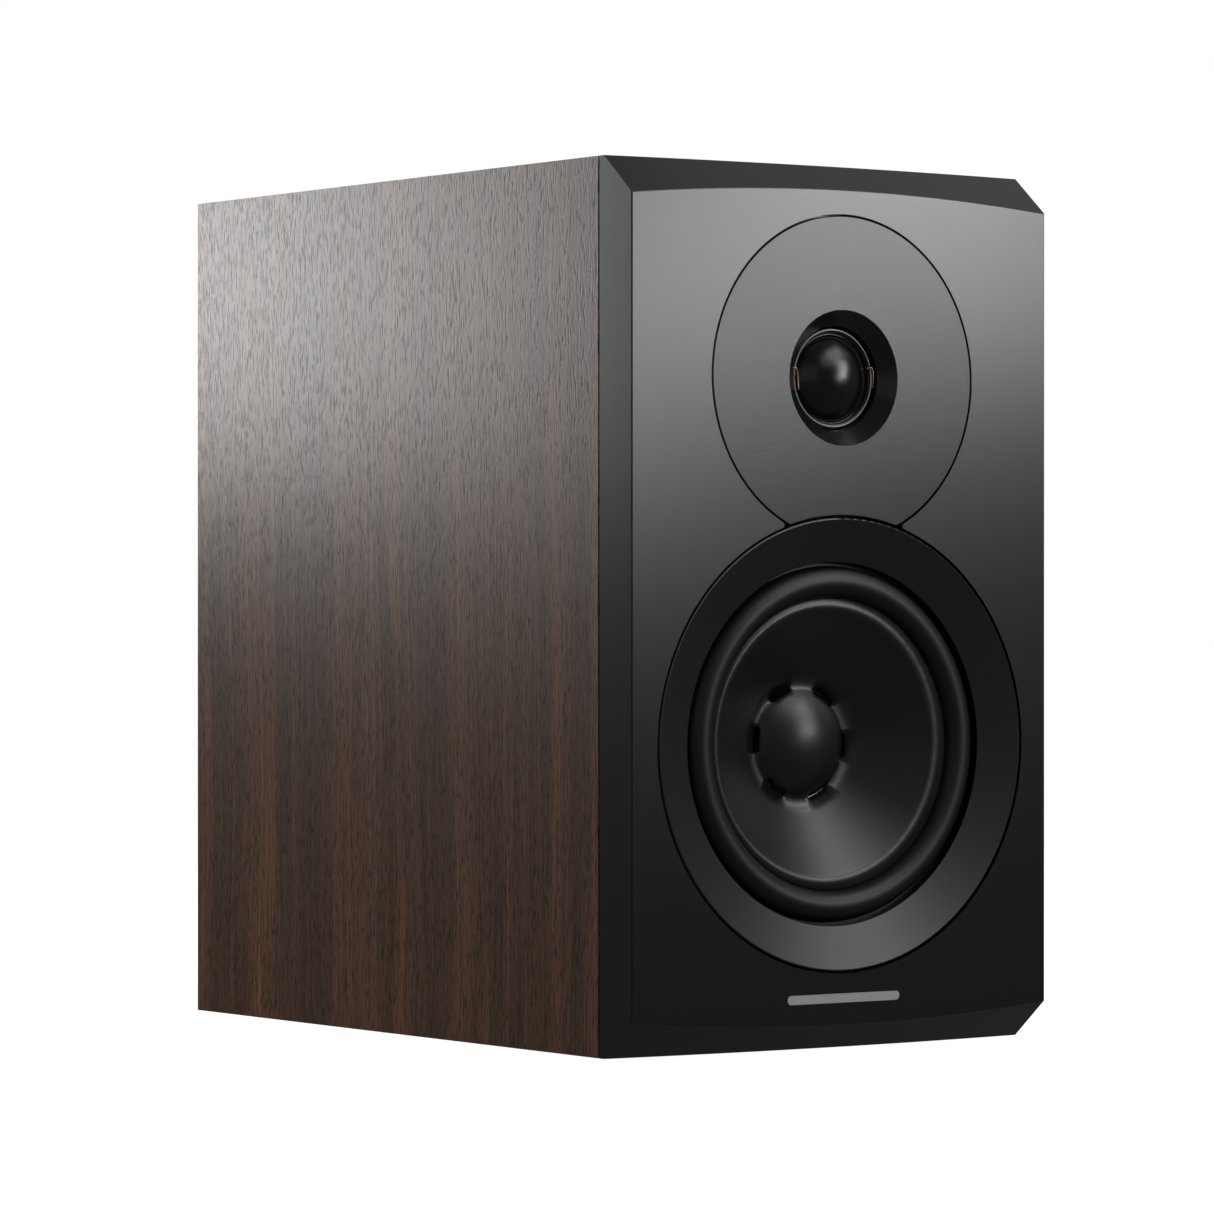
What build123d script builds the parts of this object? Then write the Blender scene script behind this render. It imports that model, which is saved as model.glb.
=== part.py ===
"""Two-way bookshelf loudspeaker, one STEP file for each separate piece.

Units are millimetres. +Z is up, the front faces -Y, and the origin is the middle of the base.
"""

import os
from math import atan2, cos, pi, radians, sin, sqrt, tan

from build123d import *

# ---- cabinet -------------------------------------------------------------------------------------
WIDTH = 170.0
HEIGHT = 290.0
DEPTH = 271.0
WALL = 15.0
REAR_THICKNESS = 15.0
BAFFLE_THICKNESS = 18.0
REVEAL_WIDTH = 0.8  # dark groove between the baffle and the veneered box
REVEAL_DEPTH = 2.0
BEVEL_DEPTH = 15.5  # how far back the bevel reaches at the baffle's corners
BEVEL_HEIGHT = 12.75  # how far down it reaches there
BEVEL_BOW = 4.2  # rise of the bevel's front edge at mid-width
EDGE_RADIUS = 0.4
BRACE_THICKNESS = 15.0
BRACE_RAIL = 20.0
PAD_THICKNESS = 12.0
PAD_MARGIN = 14.0  # wadding above the crossover board
MAGNET_RADIUS = 6.0  # hidden magnets that hold a cloth grille
MAGNET_THICKNESS = 5.0
MAGNET_SKIN = 2.0
MAGNET_EDGE = 12.0
BADGE_WIDTH = 46.0
BADGE_HEIGHT = 3.0
BADGE_THICKNESS = 0.6
BADGE_Z = 17.0
FIT_GAP = 0.05  # glued or screwed pieces in their holes
CUT_PAST = 1.0  # how far a cutter runs past the face it opens
PAD_GAP = 3.0  # wadding to its neighbours along the cabinet

# ---- woofer --------------------------------------------------------------------------------------
WOOFER_FROM_BASE = 100.0
DRIVER_SPACING = 120.0
CUTOUT_GAP = 0.6
CUTOUT_CORNER = 1.0  # rounding where the two driver cut-outs meet
FIRST_SCREW = 30.0  # angle of the first woofer screw
BASKET_GAP = 0.4  # the deeper pocket for the basket is a little narrower than the trim's
TRIM_RADIUS = 74.4
TRIM_INNER_RADIUS = 59.8
TRIM_LIP = 0.7
TRIM_DISH = 4.8
TRIM_WEB = 2.4
TRIM_CLEARANCE = 0.3  # rubber inside the trim ring
SKIRT = 2.0
FLANGE_DEPTH = 8.3  # front of the basket's flange, behind the baffle's face
FLANGE_THICKNESS = 3.0
WOOFER_GASKET = 1.0
RUBBER = 0.8
ROLL_RADIUS = 5.3
ROLL_RISE = 0.4  # height of the roll's centre line above its glued feet
CONE_RADIUS = 47.9
GLUE_WIDTH = 4.4  # inner foot of the rubber, under the cone's edge
ROLL_GAP = 0.1  # cone edge to roll
CONE_EDGE_DEPTH = 7.4
CONE_NECK_DEPTH = 25.0
CONE_THICKNESS = 0.95  # measured along the axis
DOME_HEIGHT = 6.5
DOME_INSET = 0.3  # dome edge inside the coil former's line
DOME_THICKNESS = 0.8
SLOT_COUNT = 6
SLOT_START_ANGLE = -4.0
SLOT_SPAN = 27.0
SLOT_WIDTH = 1.5
SLOT_INSET = 0.7  # middle of the slots inside the dome's edge
COIL_RADIUS = 19.0
FORMER_WALL = 0.4
WINDING_WALL = 0.9
WINDING_LENGTH = 14.0
COIL_GAP = 0.5
FORMER_TAIL = 2.0  # former past the winding
NECK_LENGTH = 4.0
NECK_RIM = 1.0  # seat of the former behind the cone's neck
SPIDER_DEPTH = 38.0
SPIDER_CLOTH = 0.6
SPIDER_WAVE = 1.2
SPIDER_WAVES = 4
POINTS_PER_WAVE = 8
SPIDER_COLLAR = 2.5  # flat collar glued to the former
SPIDER_GAP = 0.5
LEDGE_WIDTH = 5.0
LUG_WIDTH = 30.0
LUG_DROP = 2.0
TERMINAL_WIDTH = 28.0
TERMINAL_SETBACK = 4.0  # lug and terminal board behind the spider
HEX_RADIUS = 1.5
MOTOR_DEPTH = 54.0
PLATE_THICKNESS = 6.0
FERRITE_THICKNESS = 16.0
FERRITE_RADIUS = 48.0
FERRITE_BORE = 30.0
PLATE_RADIUS = 46.0
VENT_RADIUS = 8.0
BASKET_WALL = 3.0
WINDOW_COUNT = 6
SPOKE_ANGLE = 18.0
WINDOW_MARGIN = 2.5
WOOFER_SCREWS = 6
SCREW_RADIUS = 1.7
SCREW_HEAD_RADIUS = 3.2
SCREW_HEAD_HEIGHT = 2.4
SCREW_LENGTH = 9.0
SCREW_CLEARANCE = 0.5
TAB_SPACING = 16.0
TAB_WIDTH = 6.3
TAB_THICKNESS = 0.8
TAB_LENGTH = 9.0

# ---- tweeter -------------------------------------------------------------------------------------
FACE_RADIUS = 53.0
FACE_THICKNESS = 5.0
FACE_EDGE = 0.25
FACE_CORNER = 0.8
HORN_MOUTH = 22.3
HORN_THROAT = 17.3
HORN_DEPTH = 4.6
TWEETER_GASKET = 0.8
TWEETER_HOLE = 40.0
DIAPHRAGM_DEPTH = 7.2
TWEETER_DOME_RADIUS = 14.5
TWEETER_DOME_HEIGHT = 6.7
DOME_CLOTH = 0.3
DOME_RIM = 0.5  # width of the dome's glued rim
DOME_SEAT = 0.2  # its thickness
TWEETER_ROLL = 1.25
TWEETER_ROLL_GAP = 0.15
TWEETER_FOOT_GAP = 0.1
HOUSING_THICKNESS = 2.5
HOUSING_RADIUS = 38.0
DIAPHRAGM_FOOT = 19.4
TWEETER_FORMER = 0.3
TWEETER_FORMER_LENGTH = 5.5
TWEETER_FORMER_TAIL = 0.6
TWEETER_WINDING = 0.35
TWEETER_WINDING_LENGTH = 3.5
TWEETER_COIL_GAP = 0.4
TWEETER_PLATE = 4.0
TWEETER_FERRITE = 8.0
TWEETER_MOTOR_RADIUS = 36.0
TWEETER_FERRITE_BORE = 18.0
TWEETER_VENT = 5.0
CHAMBER_RADIUS = 32.0
CHAMBER_DEPTH = 17.0
CHAMBER_WALL = 2.0
CHAMBER_SEAT = 1.0
TWEETER_SCREW_RING = 47.0
TWEETER_SCREWS = 4
TWEETER_FIRST_SCREW = 45.0
TWEETER_SCREW_END = 2.3  # tip of each screw behind the faceplate's face
LEAD_RADIUS = 0.25

# ---- port ----------------------------------------------------------------------------------------
PORT_FROM_TOP = 85.0
PORT_BORE = 24.0
PORT_WALL = 2.5
PORT_LENGTH = 115.0
PORT_FLARE = 12.0
PORT_INNER_FLARE = 6.0
PORT_RIM = 3.0  # flat rim of the flange round the flared mouth
PORT_FLANGE_THICKNESS = 3.0
PORT_SOCKET = 45.0  # length of the rear half of the port
PORT_LAP = 8.0

# ---- terminals -----------------------------------------------------------------------------------
CUP_Z = 85.0
CUP_WIDTH = 90.0
CUP_HEIGHT = 50.0
CUP_DEPTH = 25.0
CUP_WALL = 2.5
CUP_LIP = 7.2
CUP_FLANGE = 3.0
CUP_CORNER = 6.0
CUP_GASKET = 0.8
CUP_GAP = 0.3
CUP_SCREW_HEAD = 1.8
CUP_SCREW_SUNK = 0.2
CUP_SCREW_TRIM = 0.5  # smaller heads than the driver screws have
CUP_HEX_RADIUS = 1.3
CUP_HEX_DEPTH = 1.2
POST_SPACING = 32.0
POST_RADIUS = 3.0
POST_FLANGE_RADIUS = 7.5
POST_FLANGE = 1.5
POST_TAIL = 14.0
POST_INSET = 1.0  # post end inside the closed cap
SOCKET_RADIUS = 2.0
SOCKET_LENGTH = 14.0
THREAD_GAP = 0.08
WASHER_THICKNESS = 1.5
CAP_RADIUS = 8.5
CAP_LENGTH = 15.0
CAP_FLUTES = 14
FLUTE_RADIUS = 1.0
FLUTE_OFFSET = 0.3  # flute middles outside the cap's skin
CAP_COLLAR = 2.0  # plain collar below the flutes
CAP_CHAMFER = 1.0
TAG_WIDTH = 6.0
TAG_LENGTH = 14.0
NUT_ACROSS = 10.0
NUT_THICKNESS = 4.0
TAG_THICKNESS = 0.8

# ---- crossover -----------------------------------------------------------------------------------
BOARD_WIDTH = 108.0
BOARD_LENGTH = 90.0
BOARD_THICKNESS = 1.6
BOARD_FROM_REAR = 20.0
STANDOFF_HEIGHT = 8.0
STANDOFF_RADIUS = 3.5
STANDOFF_INSET = 6.0
INDUCTOR_RADIUS = 19.0
INDUCTOR_HEIGHT = 14.0
BOBBIN_RADIUS = 9.0
BOBBIN_WALL = 1.5
WINDING_GAP = 0.1
CAPACITOR_RADIUS = 7.0
CAPACITOR_LENGTH = 28.0
RESISTOR_SIDE = 8.0
RESISTOR_LENGTH = 28.0
WIRE_RADIUS = 1.0
TINSEL_RADIUS = 0.5

# ---- derived places ------------------------------------------------------------------------------
WOOFER_Z = WOOFER_FROM_BASE
TWEETER_Z = WOOFER_Z + DRIVER_SPACING
PORT_Z = HEIGHT - PORT_FROM_TOP
PORT_MOUTH = PORT_BORE + PORT_FLARE
PORT_FLANGE_RADIUS = PORT_MOUTH + PORT_RIM
BACK = DEPTH / 2
INNER_WIDTH = WIDTH - 2 * WALL
REAR_INNER = BACK - REAR_THICKNESS
DOME_RADIUS = COIL_RADIUS - DOME_INSET
CONE_SLOPE = (CONE_NECK_DEPTH - CONE_EDGE_DEPTH) / (CONE_RADIUS - DOME_RADIUS)
POLE_RADIUS = COIL_RADIUS - FORMER_WALL - COIL_GAP
GAP_RADIUS = COIL_RADIUS + WINDING_WALL + COIL_GAP
MAGNET_DEPTH = MOTOR_DEPTH + PLATE_THICKNESS
BACK_PLATE_DEPTH = MAGNET_DEPTH + FERRITE_THICKNESS
WOOFER_DEPTH = BACK_PLATE_DEPTH + PLATE_THICKNESS
REBATE_DEPTH = FLANGE_DEPTH + FLANGE_THICKNESS + WOOFER_GASKET
TRIM_CUTOUT = TRIM_RADIUS + CUTOUT_GAP
BASKET_CUTOUT = TRIM_RADIUS + BASKET_GAP
FACE_CUTOUT = FACE_RADIUS + CUTOUT_GAP
WOOFER_HOLE = TRIM_INNER_RADIUS + 4.2
SCREW_RING = (TRIM_INNER_RADIUS + TRIM_RADIUS) / 2 + 1.4
ROLL_CENTRE = CONE_RADIUS + ROLL_GAP + ROLL_RADIUS
ROLL_DEPTH = FLANGE_DEPTH + 0.5
HOUSING_BACK = FACE_THICKNESS + HOUSING_THICKNESS
TWEETER_MAGNET_DEPTH = HOUSING_BACK + TWEETER_PLATE
TWEETER_BACK_PLATE = TWEETER_MAGNET_DEPTH + TWEETER_FERRITE
CHAMBER_FRONT = TWEETER_BACK_PLATE + TWEETER_PLATE + CHAMBER_SEAT
CHAMBER_BACK = CHAMBER_FRONT + CHAMBER_DEPTH
CUP_FLOOR = BACK - CUP_DEPTH
CUP_BACK = CUP_FLOOR - CUP_WALL
POST_END = CUP_FLOOR + POST_FLANGE + WASHER_THICKNESS + CAP_LENGTH - POST_INSET
BOARD_REAR = REAR_INNER - BOARD_FROM_REAR
BOARD_FRONT = BOARD_REAR - BOARD_LENGTH
BOARD_TOP = WALL + STANDOFF_HEIGHT + BOARD_THICKNESS


def front(depth):
    """The Y value at this depth behind the baffle's front face."""
    return depth - DEPTH / 2


BRACE_Y = (front(WOOFER_DEPTH) + BOARD_FRONT) / 2


def save(name, *solids):
    """Write one node, which may hold several separate solids."""
    shape = solids[0] if len(solids) == 1 else Compound(children=list(solids))
    export_step(shape, f"parts/{name}.step")


def block(x0, x1, y0, y1, z0, z1):
    """A box between two corners."""
    centre = Pos((x0 + x1) / 2, (y0 + y1) / 2, (z0 + z1) / 2)
    return centre * Box(x1 - x0, y1 - y0, z1 - z0)


def rod(radius, y0, y1, x=0.0, z=0.0):
    """A cylinder along Y."""
    placed = Pos(x, (y0 + y1) / 2, z) * Rot(90, 0, 0)
    return placed * Cylinder(radius, y1 - y0)


def tube(inner, outer, y0, y1, x=0.0, z=0.0):
    """A hollow cylinder along Y."""
    return rod(outer, y0, y1, x, z) - rod(inner, y0 - 1, y1 + CUT_PAST, x, z)


def turned(edges, z):
    """Revolve a closed outline of (radius, Y) edges about the line along Y at this height."""
    return Pos(0, 0, z) * revolve(make_face(edges), Axis.Y)


def outline(*points):
    """A closed outline whose points are (radius, depth behind the baffle's face)."""
    return Polyline(*[(r, front(d)) for r, d in points], close=True)


def segment(*points):
    """Straight edges through points given as (radius, depth)."""
    return Polyline(*[(r, front(d)) for r, d in points])


def arc(first, middle, last):
    """An arc through three points given as (radius, depth)."""
    return ThreePointArc(*[(r, front(d)) for r, d in (first, middle, last)])


def around(count, radius, z, start=0.0):
    """Points on a circle in the XZ plane about the middle of a driver."""
    angles = [radians(start + 360 * i / count) for i in range(count)]
    return [(radius * cos(a), z + radius * sin(a)) for a in angles]


def rounded_plate(width, height, corner, y0, y1, z):
    """A plate with rounded corners, thick along Y."""
    sketch = RectangleRounded(width, height, corner)
    face = Pos(0, y1, z) * Rot(90, 0, 0) * sketch
    return extrude(face, y1 - y0)


def sector(reach, angle, y1, length):
    """A wedge about the line along Y, this wide in degrees, that ends at y1."""
    x = reach * cos(radians(angle / 2))
    z = reach * sin(radians(angle / 2))
    face = make_face(Polyline((0, 0), (x, z), (x, -z), close=True))
    return extrude(Pos(0, y1, 0) * Rot(90, 0, 0) * face, length)


def cap_arc(radius, height, base_depth):
    """The section of a spherical dome, from its rim to its top on the axis."""
    sphere = (radius**2 + height**2) / (2 * height)
    half = 0.5 * atan2(radius, sphere - height)
    middle = (sphere * sin(half), base_depth - height + sphere * (1 - cos(half)))
    return arc((radius, base_depth), middle, (0, base_depth - height))


def cord(radius, points):
    """A round cord through hand-chosen points, with bends as large as its runs allow."""
    route = [Vector(*p) for p in points]
    bends = []
    for before, here, after in zip(route, route[1:], route[2:]):
        run = min((here - before).length, (after - here).length)
        turn = radians((here - before).get_angle(after - here))
        bends.append(0.45 * run / tan(turn / 2))
    path = FilletPolyline(*points, radius=bends)
    section = Plane(origin=path @ 0, z_dir=path % 0) * Circle(radius)
    made = sweep(section, path=path)
    spread = made.volume / (pi * radius**2 * path.length)
    print(f"cord {path.length:.1f} mm, tightest bend {min(bends):.1f} mm, volume ratio {spread:.4f}")
    return made


def mirrored(points):
    """The same route on the other side of the cabinet."""
    return [(-x, y, z) for x, y, z in points]


# ---- cabinet -------------------------------------------------------------------------------------
def baffle_cutouts():
    """Everything that is cut out of the baffle for the drivers."""
    both = Pos(0, WOOFER_Z) * Circle(TRIM_CUTOUT) + Pos(0, TWEETER_Z) * Circle(FACE_CUTOUT)
    both = fillet(both.vertices().filter_by(lambda v: abs(v.X) > 1), CUTOUT_CORNER)
    tweeter_floor = FACE_THICKNESS + TWEETER_GASKET
    shallow = extrude(Pos(0, front(tweeter_floor), 0) * Rot(90, 0, 0) * both, tweeter_floor)
    cuts = [
        shallow,
        rod(BASKET_CUTOUT, front(tweeter_floor), front(REBATE_DEPTH), z=WOOFER_Z),
        rod(WOOFER_HOLE, front(REBATE_DEPTH), front(BAFFLE_THICKNESS + CUT_PAST), z=WOOFER_Z),
        rod(TWEETER_HOLE, front(tweeter_floor), front(BAFFLE_THICKNESS + CUT_PAST), z=TWEETER_Z),
    ]
    hole = SCREW_RADIUS + FIT_GAP
    start = front(REBATE_DEPTH)
    end = front(FLANGE_DEPTH + SCREW_LENGTH)
    cuts += [rod(hole, start, end, x, z) for x, z in around(WOOFER_SCREWS, SCREW_RING, WOOFER_Z, FIRST_SCREW)]
    through = front(BAFFLE_THICKNESS + CUT_PAST)
    cuts += [
        rod(SCREW_RADIUS + SCREW_CLEARANCE, front(tweeter_floor), through, x, z)
        for x, z in around(TWEETER_SCREWS, TWEETER_SCREW_RING, TWEETER_Z, TWEETER_FIRST_SCREW)
    ]
    return cuts


def magnet_places():
    """Middles of the four hidden grille magnets."""
    x = WIDTH / 2 - MAGNET_EDGE
    low = BEVEL_HEIGHT + MAGNET_EDGE
    return [(side * x, z) for side in (-1, 1) for z in (low, HEIGHT - low)]


def bevel_cutter():
    """The space above the upper bevel: an arc-topped sheet swept along the bevel's slope."""
    half = WIDTH / 2
    corner_z = HEIGHT - BEVEL_HEIGHT
    crest = ThreePointArc((-half, corner_z), (0, corner_z + BEVEL_BOW), (half, corner_z))
    reach = 2 * BEVEL_HEIGHT
    rest = Polyline((half, corner_z), (half, HEIGHT + reach), (-half, HEIGHT + reach), (-half, corner_z))
    sheet = Pos(0, front(0), 0) * Rot(90, 0, 0) * make_face([crest, rest])
    slope = Vector(0, BEVEL_DEPTH, BEVEL_HEIGHT)
    return extrude(sheet, 2 * slope.length, dir=slope)


def make_baffle():
    half = WIDTH / 2
    body = block(-half, half, front(0), front(BAFFLE_THICKNESS), 0, HEIGHT)
    cutter = bevel_cutter()
    lower = Pos(0, 0, HEIGHT) * mirror(cutter, about=Plane.XY)
    body = body - cutter - lower
    long_edges = body.edges().filter_by(lambda e: e.length > WIDTH / 2)
    front_edges = long_edges.filter_by(lambda e: e.center().Y < front(BAFFLE_THICKNESS / 2))
    body = fillet(front_edges, EDGE_RADIUS)
    for cut in baffle_cutouts():
        body -= cut
    pocket = front(MAGNET_SKIN)
    for x, z in magnet_places():
        body -= rod(MAGNET_RADIUS + FIT_GAP, pocket, front(BAFFLE_THICKNESS + CUT_PAST), x, z)
    body -= badge(FIT_GAP)
    save("front_baffle", body)
    magnets = [rod(MAGNET_RADIUS, pocket, pocket + MAGNET_THICKNESS, x, z) for x, z in magnet_places()]
    save("grille_magnets", *magnets)
    save("front_badge", badge(0))


def badge(gap):
    """A plain inlaid bar, or its pocket when a gap is given."""
    corner = BADGE_HEIGHT / 2 + gap - 0.01
    proud = 1 if gap else 0
    width = BADGE_WIDTH + 2 * gap
    height = BADGE_HEIGHT + 2 * gap
    return rounded_plate(width, height, corner, front(-proud), front(BADGE_THICKNESS), BADGE_Z)


def make_cabinet():
    x = WIDTH / 2
    start = front(BAFFLE_THICKNESS)
    side = [(-x, 0), (-x, HEIGHT), (WALL - x, HEIGHT - WALL), (WALL - x, WALL)]
    lid = [(-x, HEIGHT), (x, HEIGHT), (x - WALL, HEIGHT - WALL), (WALL - x, HEIGHT - WALL)]
    outlines = {
        "left_side_panel": side,
        "right_side_panel": [(-px, pz) for px, pz in side],
        "top_panel": lid,
        "bottom_panel": [(px, HEIGHT - pz) for px, pz in lid],
    }
    groove = block(-x, x, start, start + REVEAL_WIDTH, 0, HEIGHT)
    inner = REVEAL_DEPTH
    groove -= block(inner - x, x - inner, start - 1, start + DEPTH, inner, HEIGHT - inner)
    for name, points in outlines.items():
        face = Pos(0, BACK, 0) * Rot(90, 0, 0) * make_face(Polyline(*points, close=True))
        save(name, extrude(face, BACK - start) - groove)


def make_rear_panel():
    half = INNER_WIDTH / 2
    panel = block(-half, half, REAR_INNER, BACK, WALL, HEIGHT - WALL)
    flange_floor = BACK - PORT_FLANGE_THICKNESS
    panel -= rod(PORT_FLANGE_RADIUS + FIT_GAP, flange_floor, BACK + CUT_PAST, z=PORT_Z)
    panel -= rod(PORT_MOUTH + CUP_GAP, REAR_INNER - CUT_PAST, BACK, z=PORT_Z)
    outer_w = CUP_WIDTH + 2 * CUP_WALL
    outer_h = CUP_HEIGHT + 2 * CUP_WALL
    hole_w = outer_w + 2 * CUP_GAP
    hole_h = outer_h + 2 * CUP_GAP
    panel -= rounded_plate(hole_w, hole_h, CUP_CORNER, REAR_INNER - 1, BACK + 1, CUP_Z)
    lip_w = outer_w + 2 * CUP_LIP + 2 * CUP_GAP
    lip_h = outer_h + 2 * CUP_LIP + 2 * CUP_GAP
    lip_floor = BACK - CUP_FLANGE - CUP_GASKET
    panel -= rounded_plate(lip_w, lip_h, CUP_CORNER, lip_floor, BACK + 1, CUP_Z)
    for px, pz in cup_screw_places():
        panel -= rod(SCREW_RADIUS + FIT_GAP, BACK - SCREW_LENGTH - 2.0, BACK, px, pz)
    save("rear_panel", panel)


def make_brace_and_pads():
    half = INNER_WIDTH / 2
    y0 = BRACE_Y - BRACE_THICKNESS / 2
    y1 = y0 + BRACE_THICKNESS
    frame = block(-half, half, y0, y1, WALL, HEIGHT - WALL)
    low = WALL + BRACE_RAIL
    high = HEIGHT - WALL - BRACE_RAIL
    window = block(BRACE_RAIL - half, half - BRACE_RAIL, y0 - 1, y1 + 1, low, high)
    window = fillet(window.edges().filter_by(Axis.Y), BRACE_RAIL / 2)
    save("window_brace", frame - window)
    pad_y0 = y1 + PAD_GAP
    pad_y1 = REAR_INNER - PAD_GAP
    bottom = BOARD_TOP + PAD_MARGIN
    top = HEIGHT - WALL - PAD_THICKNESS - PAD_GAP
    pads = [
        block(-half, PAD_THICKNESS - half, pad_y0, pad_y1, bottom, top),
        block(half - PAD_THICKNESS, half, pad_y0, pad_y1, bottom, top),
        block(-half, half, pad_y0, pad_y1, HEIGHT - WALL - PAD_THICKNESS, HEIGHT - WALL),
    ]
    save("damping_pads", *pads)


# ---- woofer --------------------------------------------------------------------------------------
def trim_face_depth(radius):
    """Depth of the trim ring's dished face at this radius."""
    run = TRIM_RADIUS - TRIM_LIP - TRIM_INNER_RADIUS
    return (TRIM_RADIUS - TRIM_LIP - radius) / run * TRIM_DISH


def make_trim_ring():
    lip = TRIM_RADIUS - TRIM_LIP
    turn = TRIM_LIP * (1 - sqrt(0.5))
    inner = TRIM_INNER_RADIUS
    skirt_in = inner + SKIRT
    skirt_out = TRIM_RADIUS - SKIRT
    edges = [
        arc((TRIM_RADIUS, TRIM_LIP), (TRIM_RADIUS - turn, turn), (lip, 0)),
        segment(
            (lip, 0),
            (inner, TRIM_DISH),
            (inner, FLANGE_DEPTH),
            (skirt_in, FLANGE_DEPTH),
            (skirt_in, trim_face_depth(skirt_in) + TRIM_WEB),
            (skirt_out, trim_face_depth(skirt_out) + TRIM_WEB),
            (skirt_out, FLANGE_DEPTH),
            (TRIM_RADIUS, FLANGE_DEPTH),
            (TRIM_RADIUS, TRIM_LIP),
        ),
    ]
    save("woofer_trim_ring", turned(edges, WOOFER_Z))


def make_surround():
    outer = TRIM_INNER_RADIUS - TRIM_CLEARANCE
    foot = ROLL_DEPTH - ROLL_RISE
    back = foot + RUBBER
    reach = sqrt(ROLL_RADIUS**2 - ROLL_RISE**2)
    inner_roll = ROLL_RADIUS - RUBBER
    glue_in = CONE_RADIUS - GLUE_WIDTH
    drop = (ROLL_CENTRE - reach - glue_in) * CONE_SLOPE
    edges = [
        segment((outer, back), (outer, foot), (ROLL_CENTRE + reach, foot)),
        arc(
            (ROLL_CENTRE + reach, foot),
            (ROLL_CENTRE, ROLL_DEPTH - ROLL_RADIUS),
            (ROLL_CENTRE - reach, foot),
        ),
        segment(
            (ROLL_CENTRE - reach, foot),
            (glue_in, foot + drop),
            (glue_in, foot + drop + RUBBER),
            (ROLL_CENTRE - inner_roll - 0.5, back),
            (ROLL_CENTRE - inner_roll, back),
            (ROLL_CENTRE - inner_roll, ROLL_DEPTH),
        ),
        arc(
            (ROLL_CENTRE - inner_roll, ROLL_DEPTH),
            (ROLL_CENTRE, ROLL_DEPTH - inner_roll),
            (ROLL_CENTRE + inner_roll, ROLL_DEPTH),
        ),
        segment((ROLL_CENTRE + inner_roll, ROLL_DEPTH), (ROLL_CENTRE + inner_roll, back), (outer, back)),
    ]
    save("woofer_surround", turned(edges, WOOFER_Z))


def make_cone():
    neck = CONE_NECK_DEPTH
    rim = neck + NECK_RIM
    collar = COIL_RADIUS + WINDING_WALL
    collar_depth = neck + CONE_THICKNESS - (collar - DOME_RADIUS) * CONE_SLOPE
    inside = DOME_RADIUS - 1.1
    top_inside = neck - DOME_HEIGHT + DOME_THICKNESS
    edges = [
        segment((CONE_RADIUS, CONE_EDGE_DEPTH), (DOME_RADIUS, neck)),
        cap_arc(DOME_RADIUS, DOME_HEIGHT, neck),
        segment((0, neck - DOME_HEIGHT), (0, top_inside)),
        cap_arc(inside, rim - top_inside, rim),
        segment(
            (inside, rim),
            (COIL_RADIUS, rim),
            (COIL_RADIUS, rim + NECK_LENGTH),
            (collar, rim + NECK_LENGTH),
            (collar, collar_depth),
            (CONE_RADIUS, CONE_EDGE_DEPTH + CONE_THICKNESS),
            (CONE_RADIUS, CONE_EDGE_DEPTH),
        ),
    ]
    cone = turned(edges, WOOFER_Z)
    slot_middle = DOME_RADIUS - SLOT_INSET
    ring = tube(slot_middle - SLOT_WIDTH / 2, slot_middle + SLOT_WIDTH / 2, front(neck - 6), front(rim + 0.5))
    wedge = sector(2 * DOME_RADIUS, SLOT_SPAN, front(rim + CUT_PAST), DOME_HEIGHT + 2 * CUT_PAST)
    slot = ring & wedge
    for index in range(SLOT_COUNT):
        angle = SLOT_START_ANGLE + 360 / SLOT_COUNT * index
        cone -= Pos(0, 0, WOOFER_Z) * Rot(0, -angle, 0) * slot
    save("woofer_cone", cone)


def make_moving_coil():
    top = front(CONE_NECK_DEPTH + NECK_RIM)
    end = front(MOTOR_DEPTH + PLATE_THICKNESS / 2 + WINDING_LENGTH / 2)
    inner = COIL_RADIUS - FORMER_WALL
    save("woofer_coil_former", tube(inner, COIL_RADIUS, top, end + FORMER_TAIL, z=WOOFER_Z))
    wound = COIL_RADIUS + WINDING_WALL
    save("woofer_voice_coil", tube(COIL_RADIUS, wound, end - WINDING_LENGTH, end, z=WOOFER_Z))


def make_spider():
    inner = COIL_RADIUS + ROLL_GAP
    flat = inner + SPIDER_COLLAR
    outer = ledge_outer() - SPIDER_GAP
    ridge = ledge_inner() - SPIDER_GAP
    steps = POINTS_PER_WAVE * SPIDER_WAVES
    back = SPIDER_DEPTH
    wave = []
    for index in range(steps + 1):
        share = index / steps
        radius = flat + (ridge - flat) * share
        wave.append((radius, back + SPIDER_WAVE * sin(2 * pi * SPIDER_WAVES * share)))
    rear = [(inner, back)] + wave + [(outer, back)]
    face = [(r, d - SPIDER_CLOTH) for r, d in reversed(rear)]
    save("woofer_spider", turned(outline(*rear, *face), WOOFER_Z))


def ledge_outer():
    """Radius of the basket's inner wall at the spider's ledge."""
    return PLATE_RADIUS + 1.0


def ledge_inner():
    """Inner radius of the ledge that the spider is glued to."""
    return ledge_outer() - LEDGE_WIDTH


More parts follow.
